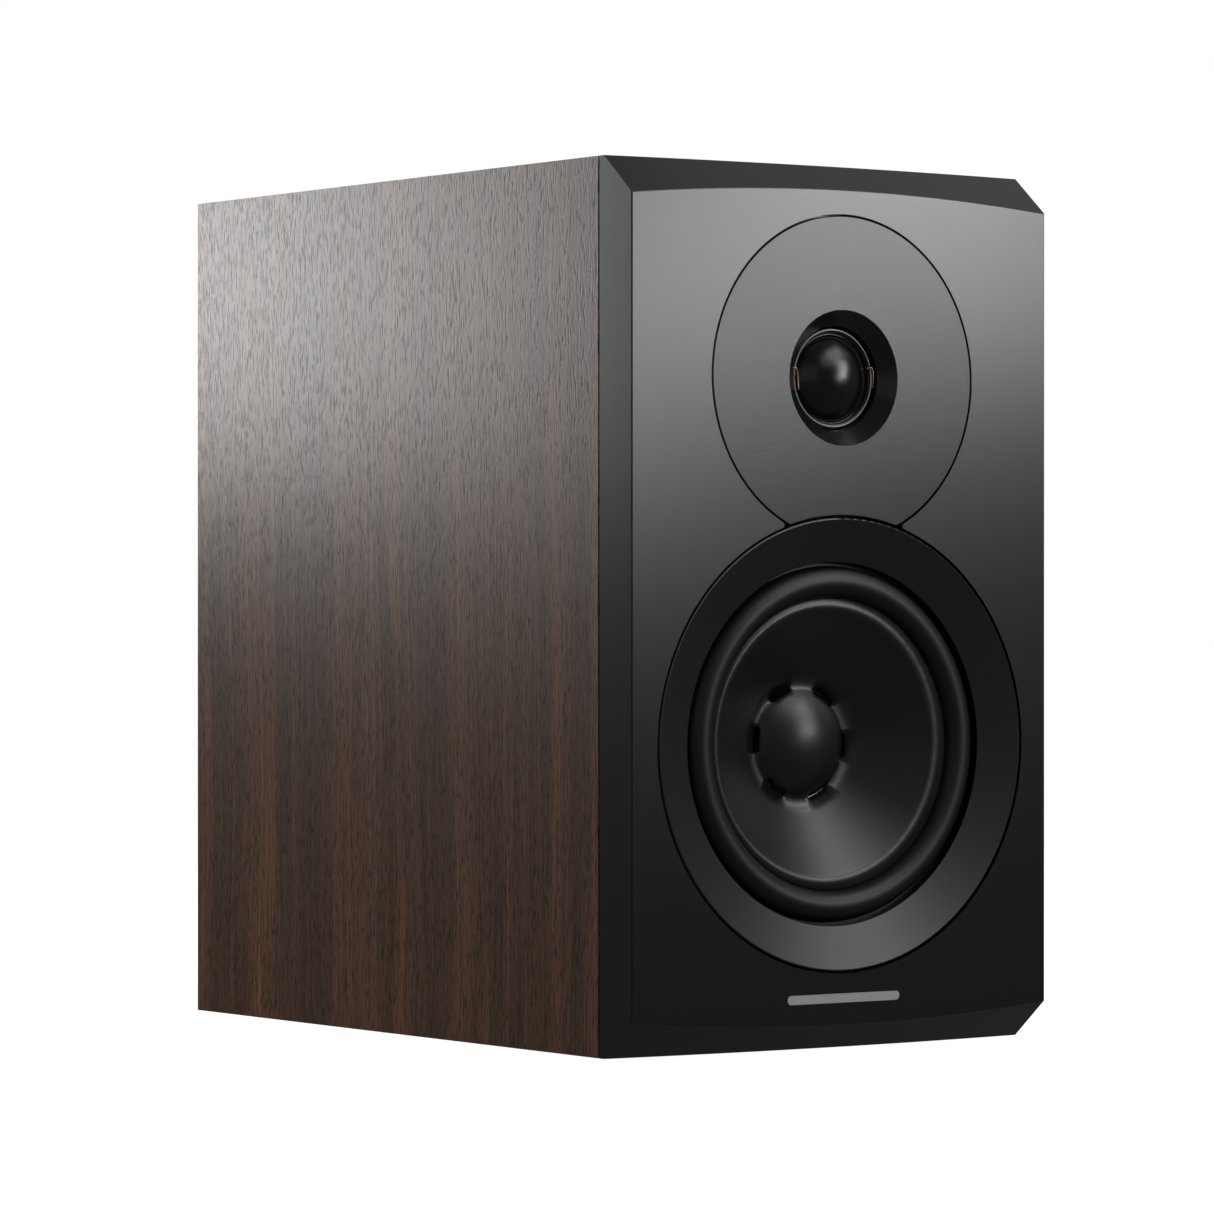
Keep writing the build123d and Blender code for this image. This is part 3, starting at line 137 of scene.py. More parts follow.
# ---- settings ------------------------------------------------------------------------------------
class CabinetSettings(bpy.types.PropertyGroup):
    heartwood: colour("Heartwood", "Main brown of the walnut", "#84583B")
    late_wood: colour("Late wood", "Dark bands of the walnut", "#64442D")
    warm_streak: colour("Warm streak", "Orange-brown streaks in the walnut", "#A0653B")
    pore: colour("Pore", "Open pores of the walnut", "#2A1D17")
    pore_width: length("Pore width", "Width across the grain of one group of pores", 0.5)
    pore_length: length("Pore length", "Length along the grain of one group of pores", 3.5)
    fibre_width: length("Fibre width", "Width of one bundle of fibres", 0.5)
    band_width: length("Band width", "Width of one growth band", 12.0)
    lacquer: colour("Lacquer", "Black lacquer of the front", "#0F0F0F")
    foil: colour("Foil", "Black foil of the back", "#1C1C1C")
    bar: colour("Bar", "Inlaid bar on the front", "#B9B9BA")


class WooferSettings(bpy.types.PropertyGroup):
    ring: colour("Ring", "Dished trim ring", "#0E0E10")
    ring_grain: length("Ring grain", "Spacing of the ring's moulded texture", 0.45)
    cone: colour("Cone", "Coated polymer cone", "#111111")
    speck: length("Speck", "Spacing of the mineral specks in the cone", 0.55)
    rubber: colour("Rubber", "Roll surround", "#080808")
    rubber_thickness: length("Rubber thickness", "Wall of the roll surround", 0.8)
    roll_rise: length("Roll rise", "Height of the roll's centre above its feet", 0.4)
    outer_foot: length("Outer foot", "Flat glued rim outside the roll", 0.9)
    spider: colour("Spider", "Resin-treated cloth", "#A98F55")
    waves: IntProperty(name="Waves", description="Corrugations of the spider", min=2, max=8, default=4)


class TweeterSettings(bpy.types.PropertyGroup):
    plate: colour("Plate", "Coated faceplate", "#17171A")
    plate_grain: length("Plate grain", "Spacing of the faceplate's grain", 0.55)
    dome: colour("Dome", "Coated woven dome", "#0B0B0B")
    thread: length("Thread", "Thread spacing of the dome's cloth", 0.35)
    lead: colour("Lead", "Bare copper lead-outs", "#E0AE96")


class BackSettings(bpy.types.PropertyGroup):
    moulding: colour("Moulding", "Port and terminal cup", "#161616")
    red: colour("Red cap", "Cap of the positive post", "#A30D0D")
    black: colour("Black cap", "Cap of the negative post", "#101010")
    gold: colour("Gold", "Plated posts, washers and nuts", "#E0B566")


class StudioSettings(bpy.types.PropertyGroup):
    lens: FloatProperty(
        name="Lens", description="Focal length on a 36 mm sensor", subtype="DISTANCE_CAMERA", default=158.65
    )
    distance: length("Distance", "Camera to the middle of the cabinet", 1862.9)
    turn: FloatProperty(
        name="Turn", description="Camera's turn round the cabinet", subtype="ANGLE", default=radians(-34.93)
    )
    floor: colour("Floor", "Pale studio floor", "#F4F4F4")


SETTINGS = {
    "speaker_cabinet": CabinetSettings,
    "speaker_woofer": WooferSettings,
    "speaker_tweeter": TweeterSettings,
    "speaker_back": BackSettings,
    "speaker_studio": StudioSettings,
}


# ---- materials -----------------------------------------------------------------------------------
def node(tree, kind, inputs=None, **values):
    """Add a node with its own settings, and a number, colour or another node's socket for each input."""
    made = tree.nodes.new(kind)
    for name, value in values.items():
        setattr(made, name, value)
    for name, value in (inputs or {}).items():
        if isinstance(value, bpy.types.NodeSocket):
            tree.links.new(value, made.inputs[name])
        elif hasattr(value, "__len__") and made.inputs[name].type == "RGBA":
            made.inputs[name].default_value = (*value[:3], 1)
        else:
            made.inputs[name].default_value = value
    return made


def once(make):
    """Make each material when it is first asked for, and hand out the same one after that."""

    @wraps(make)
    def get(*options):
        name = "_".join(("speaker", make.__name__, *options))
        found = bpy.data.materials.get(name)
        if found is None:
            found = bpy.data.materials.new(name)
            found.use_nodes = True
            found.node_tree.nodes.clear()
            shader = make(found.node_tree, *options)
            node(found.node_tree, "ShaderNodeOutputMaterial", {"Surface": shader.outputs["BSDF"]})
        return found

    return get


def finish(tree, tint, roughness, grain, height, mottle=0.12, stretch=(1, 1, 1), **shader):
    """A shader whose fine grain lifts the surface and whose slow mottle shifts its shade and gloss.

    grain is the grain's spacing and height its depth, in metres, and stretch makes it run along an axis.
    """
    place = node(tree, "ShaderNodeTexCoord").outputs["Object"]
    drawn = node(tree, "ShaderNodeMapping", {"Vector": place, "Scale": stretch})
    spot = drawn.outputs[0]
    fine = node(
        tree, "ShaderNodeTexNoise", {"Vector": spot, "Scale": 1 / grain, "Detail": 3, "Roughness": 0.6}
    )
    slow = node(tree, "ShaderNodeTexNoise", {"Vector": spot, "Scale": 0.02 / grain, "Detail": 4})
    both = node(tree, "ShaderNodeMix", {0: 0.5, 2: fine.outputs[0], 3: slow.outputs[0]})
    dark = [c * (1 - mottle) for c in tint]
    light = [c * (1 + mottle) for c in tint]
    shade = node(tree, "ShaderNodeMix", {0: both.outputs[0], 6: dark, 7: light}, data_type="RGBA")
    gloss = node(
        tree,
        "ShaderNodeMapRange",
        {0: both.outputs[0], 3: roughness * (1 - mottle / 2), 4: roughness * (1 + mottle / 2)},
    )
    bump = node(tree, "ShaderNodeBump", {"Strength": 1, "Distance": height, "Height": fine.outputs[0]})
    return node(
        tree,
        "ShaderNodeBsdfPrincipled",
        {
            "Base Color": shade.outputs[2],
            "Roughness": gloss.outputs[0],
            "Normal": bump.outputs[0],
            **{name.replace("_", " "): value for name, value in shader.items()},
        },
    )


@once
def walnut_veneer(tree, along):
    """Walnut under a satin clear coat: brown bands, warm streaks, fine fibres and open pores.

    The grain runs along Z on the sides and along X on the top and bottom, and Y is always across it,
    so that the figure carries on round the corners.
    """
    own = bpy.context.scene.speaker_cabinet
    place = node(tree, "ShaderNodeTexCoord").outputs["Object"]
    parts = node(tree, "ShaderNodeSeparateXYZ", {0: place})
    run, deep = (("Z", "X") if along == "Z" else ("X", "Z"))
    laid = node(
        tree,
        "ShaderNodeCombineXYZ",
        {"X": parts.outputs["Y"], "Y": parts.outputs[run], "Z": parts.outputs[deep]},
    )

    def marks(wide, tall, source, **more):
        """Noise whose marks are this wide across the grain and this tall along it, in metres."""
        drawn = node(tree, "ShaderNodeMapping", {"Vector": source, "Scale": (1 / wide, 1 / tall, 6)})
        return node(tree, "ShaderNodeTexNoise", {"Vector": drawn.outputs[0], "Scale": 1, **more}).outputs[0]

    def moved(value, noise_value, amount):
        """A place across the grain, shifted by a noise."""
        return node(
            tree, "ShaderNodeMath", {0: noise_value, 1: amount, 2: value}, operation="MULTIPLY_ADD"
        ).outputs[0]

    def between(value, low, high, start=0.0, end=1.0):
        """A value eased from start to end as it goes from low to high."""
        return node(
            tree,
            "ShaderNodeMapRange",
            {0: value, 1: low, 2: high, 3: start, 4: end},
            interpolation_type="SMOOTHSTEP",
        ).outputs[0]

    def blended(share, first, second):
        """One colour laid over another."""
        return node(tree, "ShaderNodeMix", {0: share, 6: first, 7: second}, data_type="RGBA").outputs[2]

    # the grain sways slowly, and curls more in a few patches
    curly = between(marks(0.05, 0.1, laid.outputs[0], Detail=1), 0.45, 0.65, 0.0002, 0.0015)
    curl = marks(0.005, 0.012, laid.outputs[0], Detail=1)
    curled = node(tree, "ShaderNodeMath", {0: curl, 1: curly}, operation="MULTIPLY").outputs[0]
    across = moved(parts.outputs["Y"], marks(0.09, 0.3, laid.outputs[0], Detail=2), 0.02)
    across = node(tree, "ShaderNodeMath", {0: across, 1: curled}, operation="ADD").outputs[0]
    grain = node(
        tree,
        "ShaderNodeCombineXYZ",
        {"X": across, "Y": parts.outputs[run], "Z": parts.outputs[deep]},
    ).outputs[0]
    bands = marks(own.band_width, 0.5, grain, Detail=2, Roughness=0.5)
    fibres = marks(own.fibre_width, 0.05, grain, Detail=3, Roughness=0.6)
    pores = marks(own.pore_width, own.pore_length, grain, Detail=1, Roughness=0.4)

    # a warm streak with a dark edge behind it, twice, each leaning a little and fading along the grain
    wood = blended(between(bands, 0.36, 0.66), own.heartwood, own.late_wood)
    low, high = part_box("left_side_panel")
    fade = between(marks(0.2, 0.09, laid.outputs[0], Detail=1), 0.3, 0.6, 0.45, 1.0)
    for place_share, lean, width, strength in ((0.83, -0.05, 0.0075, 0.7), (0.475, 0.008, 0.005, 0.6)):
        middle_line = low.y + place_share * (high.y - low.y)
        line = node(
            tree,
            "ShaderNodeMath",
            {0: parts.outputs[run], 1: lean, 2: middle_line},
            operation="MULTIPLY_ADD",
        ).outputs[0]
        away = node(tree, "ShaderNodeMath", {0: across, 1: line}, operation="SUBTRACT").outputs[0]
        for shift, spread, power, tone in (
            (0.0, width, strength, own.warm_streak),
            (width * 1.6, width * 0.9, strength * 0.7, own.late_wood),
        ):
            off = node(tree, "ShaderNodeMath", {0: away, 1: 0.01 + shift}, operation="SUBTRACT").outputs[0]
            off = node(tree, "ShaderNodeMath", {0: off}, operation="ABSOLUTE").outputs[0]
            near = between(off, 0.0, spread, power, 0.0)
            share = node(tree, "ShaderNodeMath", {0: near, 1: fade}, operation="MULTIPLY").outputs[0]
            wood = blended(share, wood, tone)

    lifted = node(tree, "ShaderNodeMapRange", {0: fibres, 1: 0.28, 2: 0.72, 3: 0.35, 4: 1.65}).outputs[0]
    wood = node(tree, "ShaderNodeVectorMath", {0: wood, 1: lifted}, operation="MULTIPLY").outputs[0]
    cut = between(pores, 0.46, 0.72)
    open_pore = node(tree, "ShaderNodeMath", {0: cut, 1: 0.6}, operation="MULTIPLY").outputs[0]
    wood = blended(open_pore, wood, own.pore)
    sunk = node(tree, "ShaderNodeMath", {0: fibres, 1: -0.3, 2: cut}, operation="MULTIPLY_ADD").outputs[0]
    bump = node(tree, "ShaderNodeBump", {"Distance": 0.00002, "Height": sunk}, invert=True)
    return node(
        tree,
        "ShaderNodeBsdfPrincipled",
        {
            "Base Color": wood,
            "Roughness": 0.28,
            "IOR": 1.5,
            "Specular IOR Level": between(sunk, -0.25, 0.8, 0.56, 0.28),
            "Normal": bump.outputs[0],
        },
    )


@once
def black_lacquer(tree):
    """Satin black lacquer on fibreboard: an even soft gloss with a trace of orange peel."""
    own = bpy.context.scene.speaker_cabinet
    return finish(tree, own.lacquer, 0.22, 1.4 * MM, 0.0004 * MM, mottle=0.05, IOR=1.5)


@once
def ash_foil(tree):
    """Black foil with an embossed ash grain that runs up the back: broken vertical glints."""
    own = bpy.context.scene.speaker_cabinet
    return finish(tree, own.foil, 0.5, 0.5 * MM, 0.03 * MM, mottle=0.25, stretch=(1, 1, 0.06), IOR=1.46)


@once
def raw_fibreboard(tree):
    """Bare medium-density fibreboard: matt tan with darker wood dust."""
    return finish(tree, linear("#B79468"), 0.85, 0.7 * MM, 0.05 * MM, mottle=0.25, IOR=1.45)


@once
def anodised_bar(tree):
    """Brushed and clear-anodised aluminium: satin grey with fine lines along its length."""
    own = bpy.context.scene.speaker_cabinet
    return finish(tree, own.bar, 0.38, 0.12 * MM, 0.004 * MM, stretch=(0.03, 1, 1), Metallic=1.0)


@once
def nickel_plate(tree):
    """Nickel on a sintered magnet: bright, faintly warm and mottled."""
    return finish(tree, linear("#B8B4AC"), 0.22, 1.2 * MM, 0.002 * MM, Metallic=1.0)


@once
def closed_cell_foam(tree):
    """Black closed-cell foam: dull, with fine popped cells."""
    return finish(tree, linear("#1B1B1B"), 0.95, 0.6 * MM, 0.12 * MM, mottle=0.3, IOR=1.45)


@once
def polyester_wadding(tree):
    """Bonded polyester wadding: pale grey fibres with a soft bloom at the edges."""
    return finish(
        tree, linear("#B9B9B4"), 0.95, 1.1 * MM, 0.5 * MM, mottle=0.3, IOR=1.45,
        Sheen_Weight=0.4, Sheen_Roughness=0.6,
    )


@once
def textured_moulding(tree):
    """Spark-textured ABS: a fine even grain that spreads highlights wide."""
    own = bpy.context.scene.speaker_woofer
    return finish(tree, own.ring, 0.34, own.ring_grain, 0.01 * MM, mottle=0.1, IOR=1.53)


@once
def satin_moulding(tree):
    """Black polystyrene with a light moulded texture: the port, cup and inner housings."""
    own = bpy.context.scene.speaker_back
    return finish(tree, own.moulding, 0.46, 0.5 * MM, 0.015 * MM, mottle=0.12, IOR=1.55)


@once
def filled_polymer(tree):
    """Cone of mineral-filled polymer with a matt coat: tiny specks that sparkle at the edge of a highlight.

    The coat stops at the cut edges of the vent slots, which stay dull.
    """
    own = bpy.context.scene.speaker_woofer
    shader = finish(tree, own.cone, 0.34, own.speck, 0.025 * MM, mottle=0.2, IOR=1.5)
    facing = node(tree, "ShaderNodeSeparateXYZ", {0: node(tree, "ShaderNodeTexCoord").outputs["Normal"]})
    forward = node(tree, "ShaderNodeMath", {0: facing.outputs["Y"]}, operation="ABSOLUTE")
    coat = node(tree, "ShaderNodeMapRange", {0: forward.outputs[0], 1: 0.4, 2: 0.6, 3: 0.03, 4: 0.5})
    tree.links.new(coat.outputs[0], shader.inputs["Specular IOR Level"])
    return shader


@once
def butyl_rubber(tree):
    """Moulded butyl rubber: deep black with a broad soft glow on its roll."""
    own = bpy.context.scene.speaker_woofer
    return finish(tree, own.rubber, 0.44, 0.9 * MM, 0.004 * MM, IOR=1.5, Specular_IOR_Level=0.4)


@once
def powder_coat(tree):
    """Black powder coat on cast aluminium: small rounded orange peel."""
    return finish(tree, linear("#1A1A1B"), 0.42, 1.0 * MM, 0.05 * MM, mottle=0.08, IOR=1.5)


@once
def aluminium_foil(tree):
    """Thin rolled aluminium: bright, drawn lines round the former."""
    return finish(tree, linear("#D0D1D3"), 0.28, 0.3 * MM, 0.01 * MM, stretch=(1, 0.1, 1), Metallic=1.0)


@once
def enamelled_copper(tree):
    """Close-wound enamelled copper wire: warm metal ridged by its turns, drawn wide enough to show."""
    pitch = 0.45 * MM
    place = node(tree, "ShaderNodeTexCoord").outputs["Object"]
    turns = node(
        tree,
        "ShaderNodeTexWave",
        {
            "Vector": place,
            "Scale": 2 * pi / (20 * pitch),
            "Distortion": 0.4,
            "Detail": 1,
            "Detail Scale": 2,
        },
        bands_direction="Y",
    )
    bump = node(tree, "ShaderNodeBump", {"Distance": 0.12 * MM, "Height": turns.outputs["Fac"]})
    shade = node(
        tree,
        "ShaderNodeMix",
        {0: turns.outputs["Fac"], 6: linear("#7A3E22"), 7: linear("#D08A5C")},
        data_type="RGBA",
    )
    return node(
        tree,
        "ShaderNodeBsdfPrincipled",
        {"Base Color": shade.outputs[2], "Metallic": 1.0, "Roughness": 0.3, "Normal": bump.outputs[0]},
    )


@once
def bare_copper(tree):
    """Drawn copper wire, slightly tarnished."""
    own = bpy.context.scene.speaker_tweeter
    return finish(tree, own.lead, 0.3, 0.25 * MM, 0.004 * MM, mottle=0.2, Metallic=1.0)


@once
def treated_cloth(tree):
    """Cotton cloth stiffened with resin: a plain weave with a dull amber varnish."""
    own = bpy.context.scene.speaker_woofer
    thread = 0.9 * MM
    place = node(tree, "ShaderNodeTexCoord").outputs["Object"]
    lines = [
        node(
            tree,
            "ShaderNodeTexWave",
            {"Vector": place, "Scale": 2 * pi / (20 * thread), "Distortion": 0.6, "Detail": 1},
            bands_direction=axis,
        ).outputs["Fac"]
        for axis in "XZ"
    ]
    weave = node(tree, "ShaderNodeMath", {0: lines[0], 1: lines[1]}, operation="MULTIPLY")
    shade = node(
        tree,
        "ShaderNodeMix",
        {0: weave.outputs[0], 6: [c * 0.45 for c in own.spider], 7: own.spider},
        data_type="RGBA",
    )
    bump = node(tree, "ShaderNodeBump", {"Distance": 0.15 * MM, "Height": weave.outputs[0]})
    return node(
        tree,
        "ShaderNodeBsdfPrincipled",
        {"Base Color": shade.outputs[2], "Roughness": 0.62, "IOR": 1.5, "Normal": bump.outputs[0]},
    )


@once
def tinsel_braid(tree):
    """Copper tinsel braided round a cotton core: bright slanting strands."""
    strand = 0.5 * MM
    place = node(tree, "ShaderNodeTexCoord").outputs["Object"]
    braid = node(
        tree,
        "ShaderNodeTexWave",
        {"Vector": place, "Scale": 2 * pi / (20 * strand), "Distortion": 2, "Detail": 2},
        bands_direction="DIAGONAL",
    )
    bump = node(tree, "ShaderNodeBump", {"Distance": 0.1 * MM, "Height": braid.outputs["Fac"]})
    shade = node(
        tree,
        "ShaderNodeMix",
        {0: braid.outputs["Fac"], 6: linear("#6B4A36"), 7: linear("#D9B08F")},
        data_type="RGBA",
    )
    return node(
        tree,
        "ShaderNodeBsdfPrincipled",
        {"Base Color": shade.outputs[2], "Metallic": 0.9, "Roughness": 0.42, "Normal": bump.outputs[0]},
    )


@once
def zinc_plate(tree):
    """Bright zinc on turned steel: cool grey with a slight spangle."""
    return finish(tree, linear("#A9ADB0"), 0.34, 2.0 * MM, 0.006 * MM, mottle=0.18, Metallic=1.0)


@once
def sintered_ferrite(tree):
    """Ground ferrite ceramic: near-black with pits and a dull stone shine."""
    return finish(tree, linear("#2B2B2D"), 0.55, 0.9 * MM, 0.06 * MM, mottle=0.3, IOR=2.3)


@once
def phenolic_board(tree):
    """Phenolic paper board: hard tan-brown sheet."""
    return finish(tree, linear("#6A4426"), 0.48, 0.8 * MM, 0.01 * MM, mottle=0.2, IOR=1.6)


@once
def tinned_brass(tree):
    """Tin-plated brass: soft white metal with handling marks."""
    return finish(tree, linear("#C9C6BC"), 0.32, 0.8 * MM, 0.008 * MM, mottle=0.15, Metallic=1.0)


@once
def grained_coat(tree):
    """Fine-grain black coating on the tweeter's plate: a satin grey bloom with a sandy texture."""
    own = bpy.context.scene.speaker_tweeter
    return finish(tree, own.plate, 0.2, own.plate_grain, 0.028 * MM, mottle=0.14, IOR=1.43)


@once
def coated_dome_cloth(tree):
    """Woven dome under a tacky damping coat: glossy, with the threads just showing through."""
    own = bpy.context.scene.speaker_tweeter
    place = node(tree, "ShaderNodeTexCoord").outputs["Object"]
    lines = [
        node(
            tree,
            "ShaderNodeTexWave",
            {"Vector": place, "Scale": 2 * pi / (20 * own.thread), "Distortion": 0.3, "Detail": 1},
            bands_direction=axis,
        ).outputs["Fac"]
        for axis in "XZ"
    ]
    weave = node(tree, "ShaderNodeMath", {0: lines[0], 1: lines[1]}, operation="MULTIPLY")
    bump = node(tree, "ShaderNodeBump", {"Distance": 0.008 * MM, "Height": weave.outputs[0]})
    shade = node(
        tree,
        "ShaderNodeMix",
        {0: weave.outputs[0], 6: [c * 0.7 for c in own.dome], 7: own.dome},
        data_type="RGBA",
    )
    return node(
        tree,
        "ShaderNodeBsdfPrincipled",
        {
            "Base Color": shade.outputs[2],
            "Roughness": 0.21,
            "IOR": 1.5,
            "Normal": bump.outputs[0],
        },
    )


@once
def black_zinc(tree):
    """Black-passivated screws: dark steel with an oily sheen."""
    return finish(tree, linear("#2A2A2C"), 0.36, 0.6 * MM, 0.006 * MM, Metallic=1.0)


@once
def gold_plate(tree):
    """Gold plate on turned brass: polished, with fine turning marks."""
    own = bpy.context.scene.speaker_back
    return finish(tree, own.gold, 0.2, 0.25 * MM, 0.003 * MM, stretch=(1, 4, 1), Metallic=1.0)


@once
def clear_cap(tree, side):
    """Tinted acrylic cap: glossy, with light that sinks in a little."""
    own = bpy.context.scene.speaker_back
    tint = own.red if side == "red" else own.black
    return finish(
        tree, tint, 0.16, 2.0 * MM, 0.002 * MM, mottle=0.06, IOR=1.49,
        Coat_Weight=0.5, Coat_Roughness=0.05,
    )


@once
def solder_mask(tree):
    """Green solder mask over glass-fibre board: glossy, with the weave faintly printed through."""
    return finish(tree, linear("#0E4A2C"), 0.3, 1.0 * MM, 0.01 * MM, mottle=0.25, IOR=1.55)


@once
def natural_nylon(tree):
    """Natural nylon: milky white and waxy."""
    return finish(
        tree, linear("#DCD8CB"), 0.45, 1.5 * MM, 0.004 * MM, mottle=0.06, IOR=1.53,
        Subsurface_Weight=0.3, Subsurface_Scale=0.001,
    )


@once
def capacitor_film(tree):
    """Yellow polyester tape wound round a film capacitor."""
    return finish(tree, linear("#C59A24"), 0.3, 1.2 * MM, 0.006 * MM, stretch=(0.1, 1, 1), IOR=1.57)


@once
def cement_body(tree):
    """White ceramic body of a cement resistor: chalky and slightly pitted."""
    return finish(tree, linear("#DAD6CB"), 0.8, 0.8 * MM, 0.05 * MM, mottle=0.15, IOR=1.5)


@once
def wire_sleeve(tree):
    """Flexible PVC sleeve: smooth satin black."""
    return finish(tree, linear("#1A1A1A"), 0.4, 0.8 * MM, 0.004 * MM, mottle=0.15, IOR=1.53)


def paint(material, *names):
    """Give CAD nodes this material."""
    for name in names:
        NODES[name].data.materials.clear()
        NODES[name].data.materials.append(material)


def even_shading(name):
    """Join the doubled point at a dome's tip and shade from the faces alone, so it has no glint."""
    tree = bpy.data.node_groups.get("even_shading")
    if tree is None:
        tree = bpy.data.node_groups.new("even_shading", "GeometryNodeTree")
        for way in ("INPUT", "OUTPUT"):
            tree.interface.new_socket("Geometry", in_out=way, socket_type="NodeSocketGeometry")
        given = node(tree, "NodeGroupInput").outputs["Geometry"]
        joined = node(tree, "GeometryNodeMergeByDistance", {"Geometry": given, "Distance": 0.001 * MM})
        sharp = node(tree, "GeometryNodeInputNamedAttribute", {"Name": "sharp_edge"}, data_type="BOOLEAN")
        evened = node(
            tree,
            "GeometryNodeSetMeshNormal",
            {"Mesh": joined.outputs[0], "Remove Custom": True, "Edge Sharpness": sharp.outputs[0]},
        )
        node(tree, "NodeGroupOutput", {"Geometry": evened.outputs["Mesh"]})
    NODES[name].modifiers.new("even shading", "NODES").node_group = tree


# ---- shapes --------------------------------------------------------------------------------------
CORNER = radians(38)  # edges sharper than this stay crisp


def piece(name, mesh, material):
    """A new object from a finished bmesh, smooth except at its sharp edges."""
    bmesh.ops.recalc_face_normals(mesh, faces=mesh.faces)
    for face in mesh.faces:
        face.smooth = True
    for edge in mesh.edges:
        if len(edge.link_faces) == 2 and edge.calc_face_angle() > CORNER:
            edge.smooth = False
    data = bpy.data.meshes.new(name)
    mesh.to_mesh(data)
    mesh.free()
    data.materials.append(material)
    made = bpy.data.objects.new(name, data)
    bpy.context.scene.collection.objects.link(made)
    return made


def lathe(name, outline, centre, material, steps=256):
    """A closed outline of (radius, Y) points, in metres, turned about the line along Y through centre."""
    mesh = bmesh.new()
    rings = []
    for step in range(steps):
        angle = 2 * pi * step / steps
        side, up = cos(angle), sin(angle)
        rings.append([mesh.verts.new((centre.x + r * side, y, centre.z + r * up)) for r, y in outline])
    for here, after in zip(rings, rings[1:] + rings[:1]):
        for a, b, c, d in zip(here, here[1:] + here[:1], after[1:] + after[:1], after):
            mesh.faces.new((a, b, c, d))
    return piece(name, mesh, material)


def bow(centre, radius, start, end, steps):
    """Points of an arc about a (radius, Y) centre, from one angle to another in degrees."""
    angles = [radians(start + (end - start) * i / steps) for i in range(steps + 1)]
    return [(centre[0] + radius * cos(a), centre[1] + radius * sin(a)) for a in angles]


def wire(name, points, radius, material):
    """A round wire along a smooth curve that these given points control."""
    curve = bpy.data.curves.new(name, "CURVE")
    curve.dimensions = "3D"
    curve.bevel_depth = radius
    curve.bevel_resolution = 5
    curve.use_fill_caps = True
    spline = curve.splines.new("NURBS")
    spline.points.add(len(points) - 1)
    for place, point in zip(spline.points, points):
        place.co = (*point, 1)
    spline.order_u = 3
    spline.use_endpoint_u = True
    spline.resolution_u = 10
    drawn = bpy.data.objects.new(name + "_path", curve)
    bpy.context.scene.collection.objects.link(drawn)
    data = bpy.data.meshes.new_from_object(drawn.evaluated_get(bpy.context.evaluated_depsgraph_get()))
    bpy.data.objects.remove(drawn)
    data.name = name
    data.materials.clear()
    data.materials.append(material)
    for face in data.polygons:
        face.use_smooth = True
    made = bpy.data.objects.new(name, data)
    bpy.context.scene.collection.objects.link(made)
    return made


def flex(made, moving, centre, fixed_radius, moving_radius):
    """Bend a round flexible part between the cabinet and a moving body, by distance from the axis."""
    start = (centre.x + fixed_radius, centre.y, centre.z)
    end = (centre.x + moving_radius, centre.y, centre.z)
    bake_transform(made, "cabinet", moving, start=start, end=end)
    weights = made.data.attributes["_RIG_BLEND"].data
    for vertex, weight in zip(made.data.vertices, weights):
        away = hypot(vertex.co.x - centre.x, vertex.co.z - centre.z)
        share = min(1, max(0, (fixed_radius - away) / (fixed_radius - moving_radius)))
        weight.value = share * share * (3 - 2 * share)


# ---- operators -----------------------------------------------------------------------------------
class SPEAKER_OT_cabinet(bpy.types.Operator):
    """Veneer the four panels, foil the back and leave the brace raw"""

    bl_idname = "speaker.cabinet"
    bl_label = "Cabinet"

    def execute(self, context):
        paint(walnut_veneer("Z"), "left_side_panel", "right_side_panel")
        paint(walnut_veneer("X"), "top_panel", "bottom_panel")
        paint(ash_foil(), "rear_panel")
        paint(raw_fibreboard(), "window_brace")
        return {"FINISHED"}


class SPEAKER_OT_front(bpy.types.Operator):
    """Lacquer the front baffle and finish its inlaid bar and hidden grille magnets"""

    bl_idname = "speaker.front"
    bl_label = "Front baffle"

    def execute(self, context):
        paint(black_lacquer(), "front_baffle")
        paint(anodised_bar(), "front_badge")
        paint(nickel_plate(), "grille_magnets")
        return {"FINISHED"}


class SPEAKER_OT_woofer_ring(bpy.types.Operator):
    """Texture the woofer's dished trim ring"""

    bl_idname = "speaker.woofer_ring"
    bl_label = "Woofer ring"

    def execute(self, context):
        paint(textured_moulding(), "woofer_trim_ring")
        return {"FINISHED"}


class SPEAKER_OT_woofer_cone(bpy.types.Operator):
    """Finish the woofer's cone, its former and its winding"""

    bl_idname = "speaker.woofer_cone"
    bl_label = "Woofer cone"

    def execute(self, context):
        paint(filled_polymer(), "woofer_cone")
        even_shading("woofer_cone")
        paint(aluminium_foil(), "woofer_coil_former")
        paint(enamelled_copper(), "woofer_voice_coil")
        return {"FINISHED"}


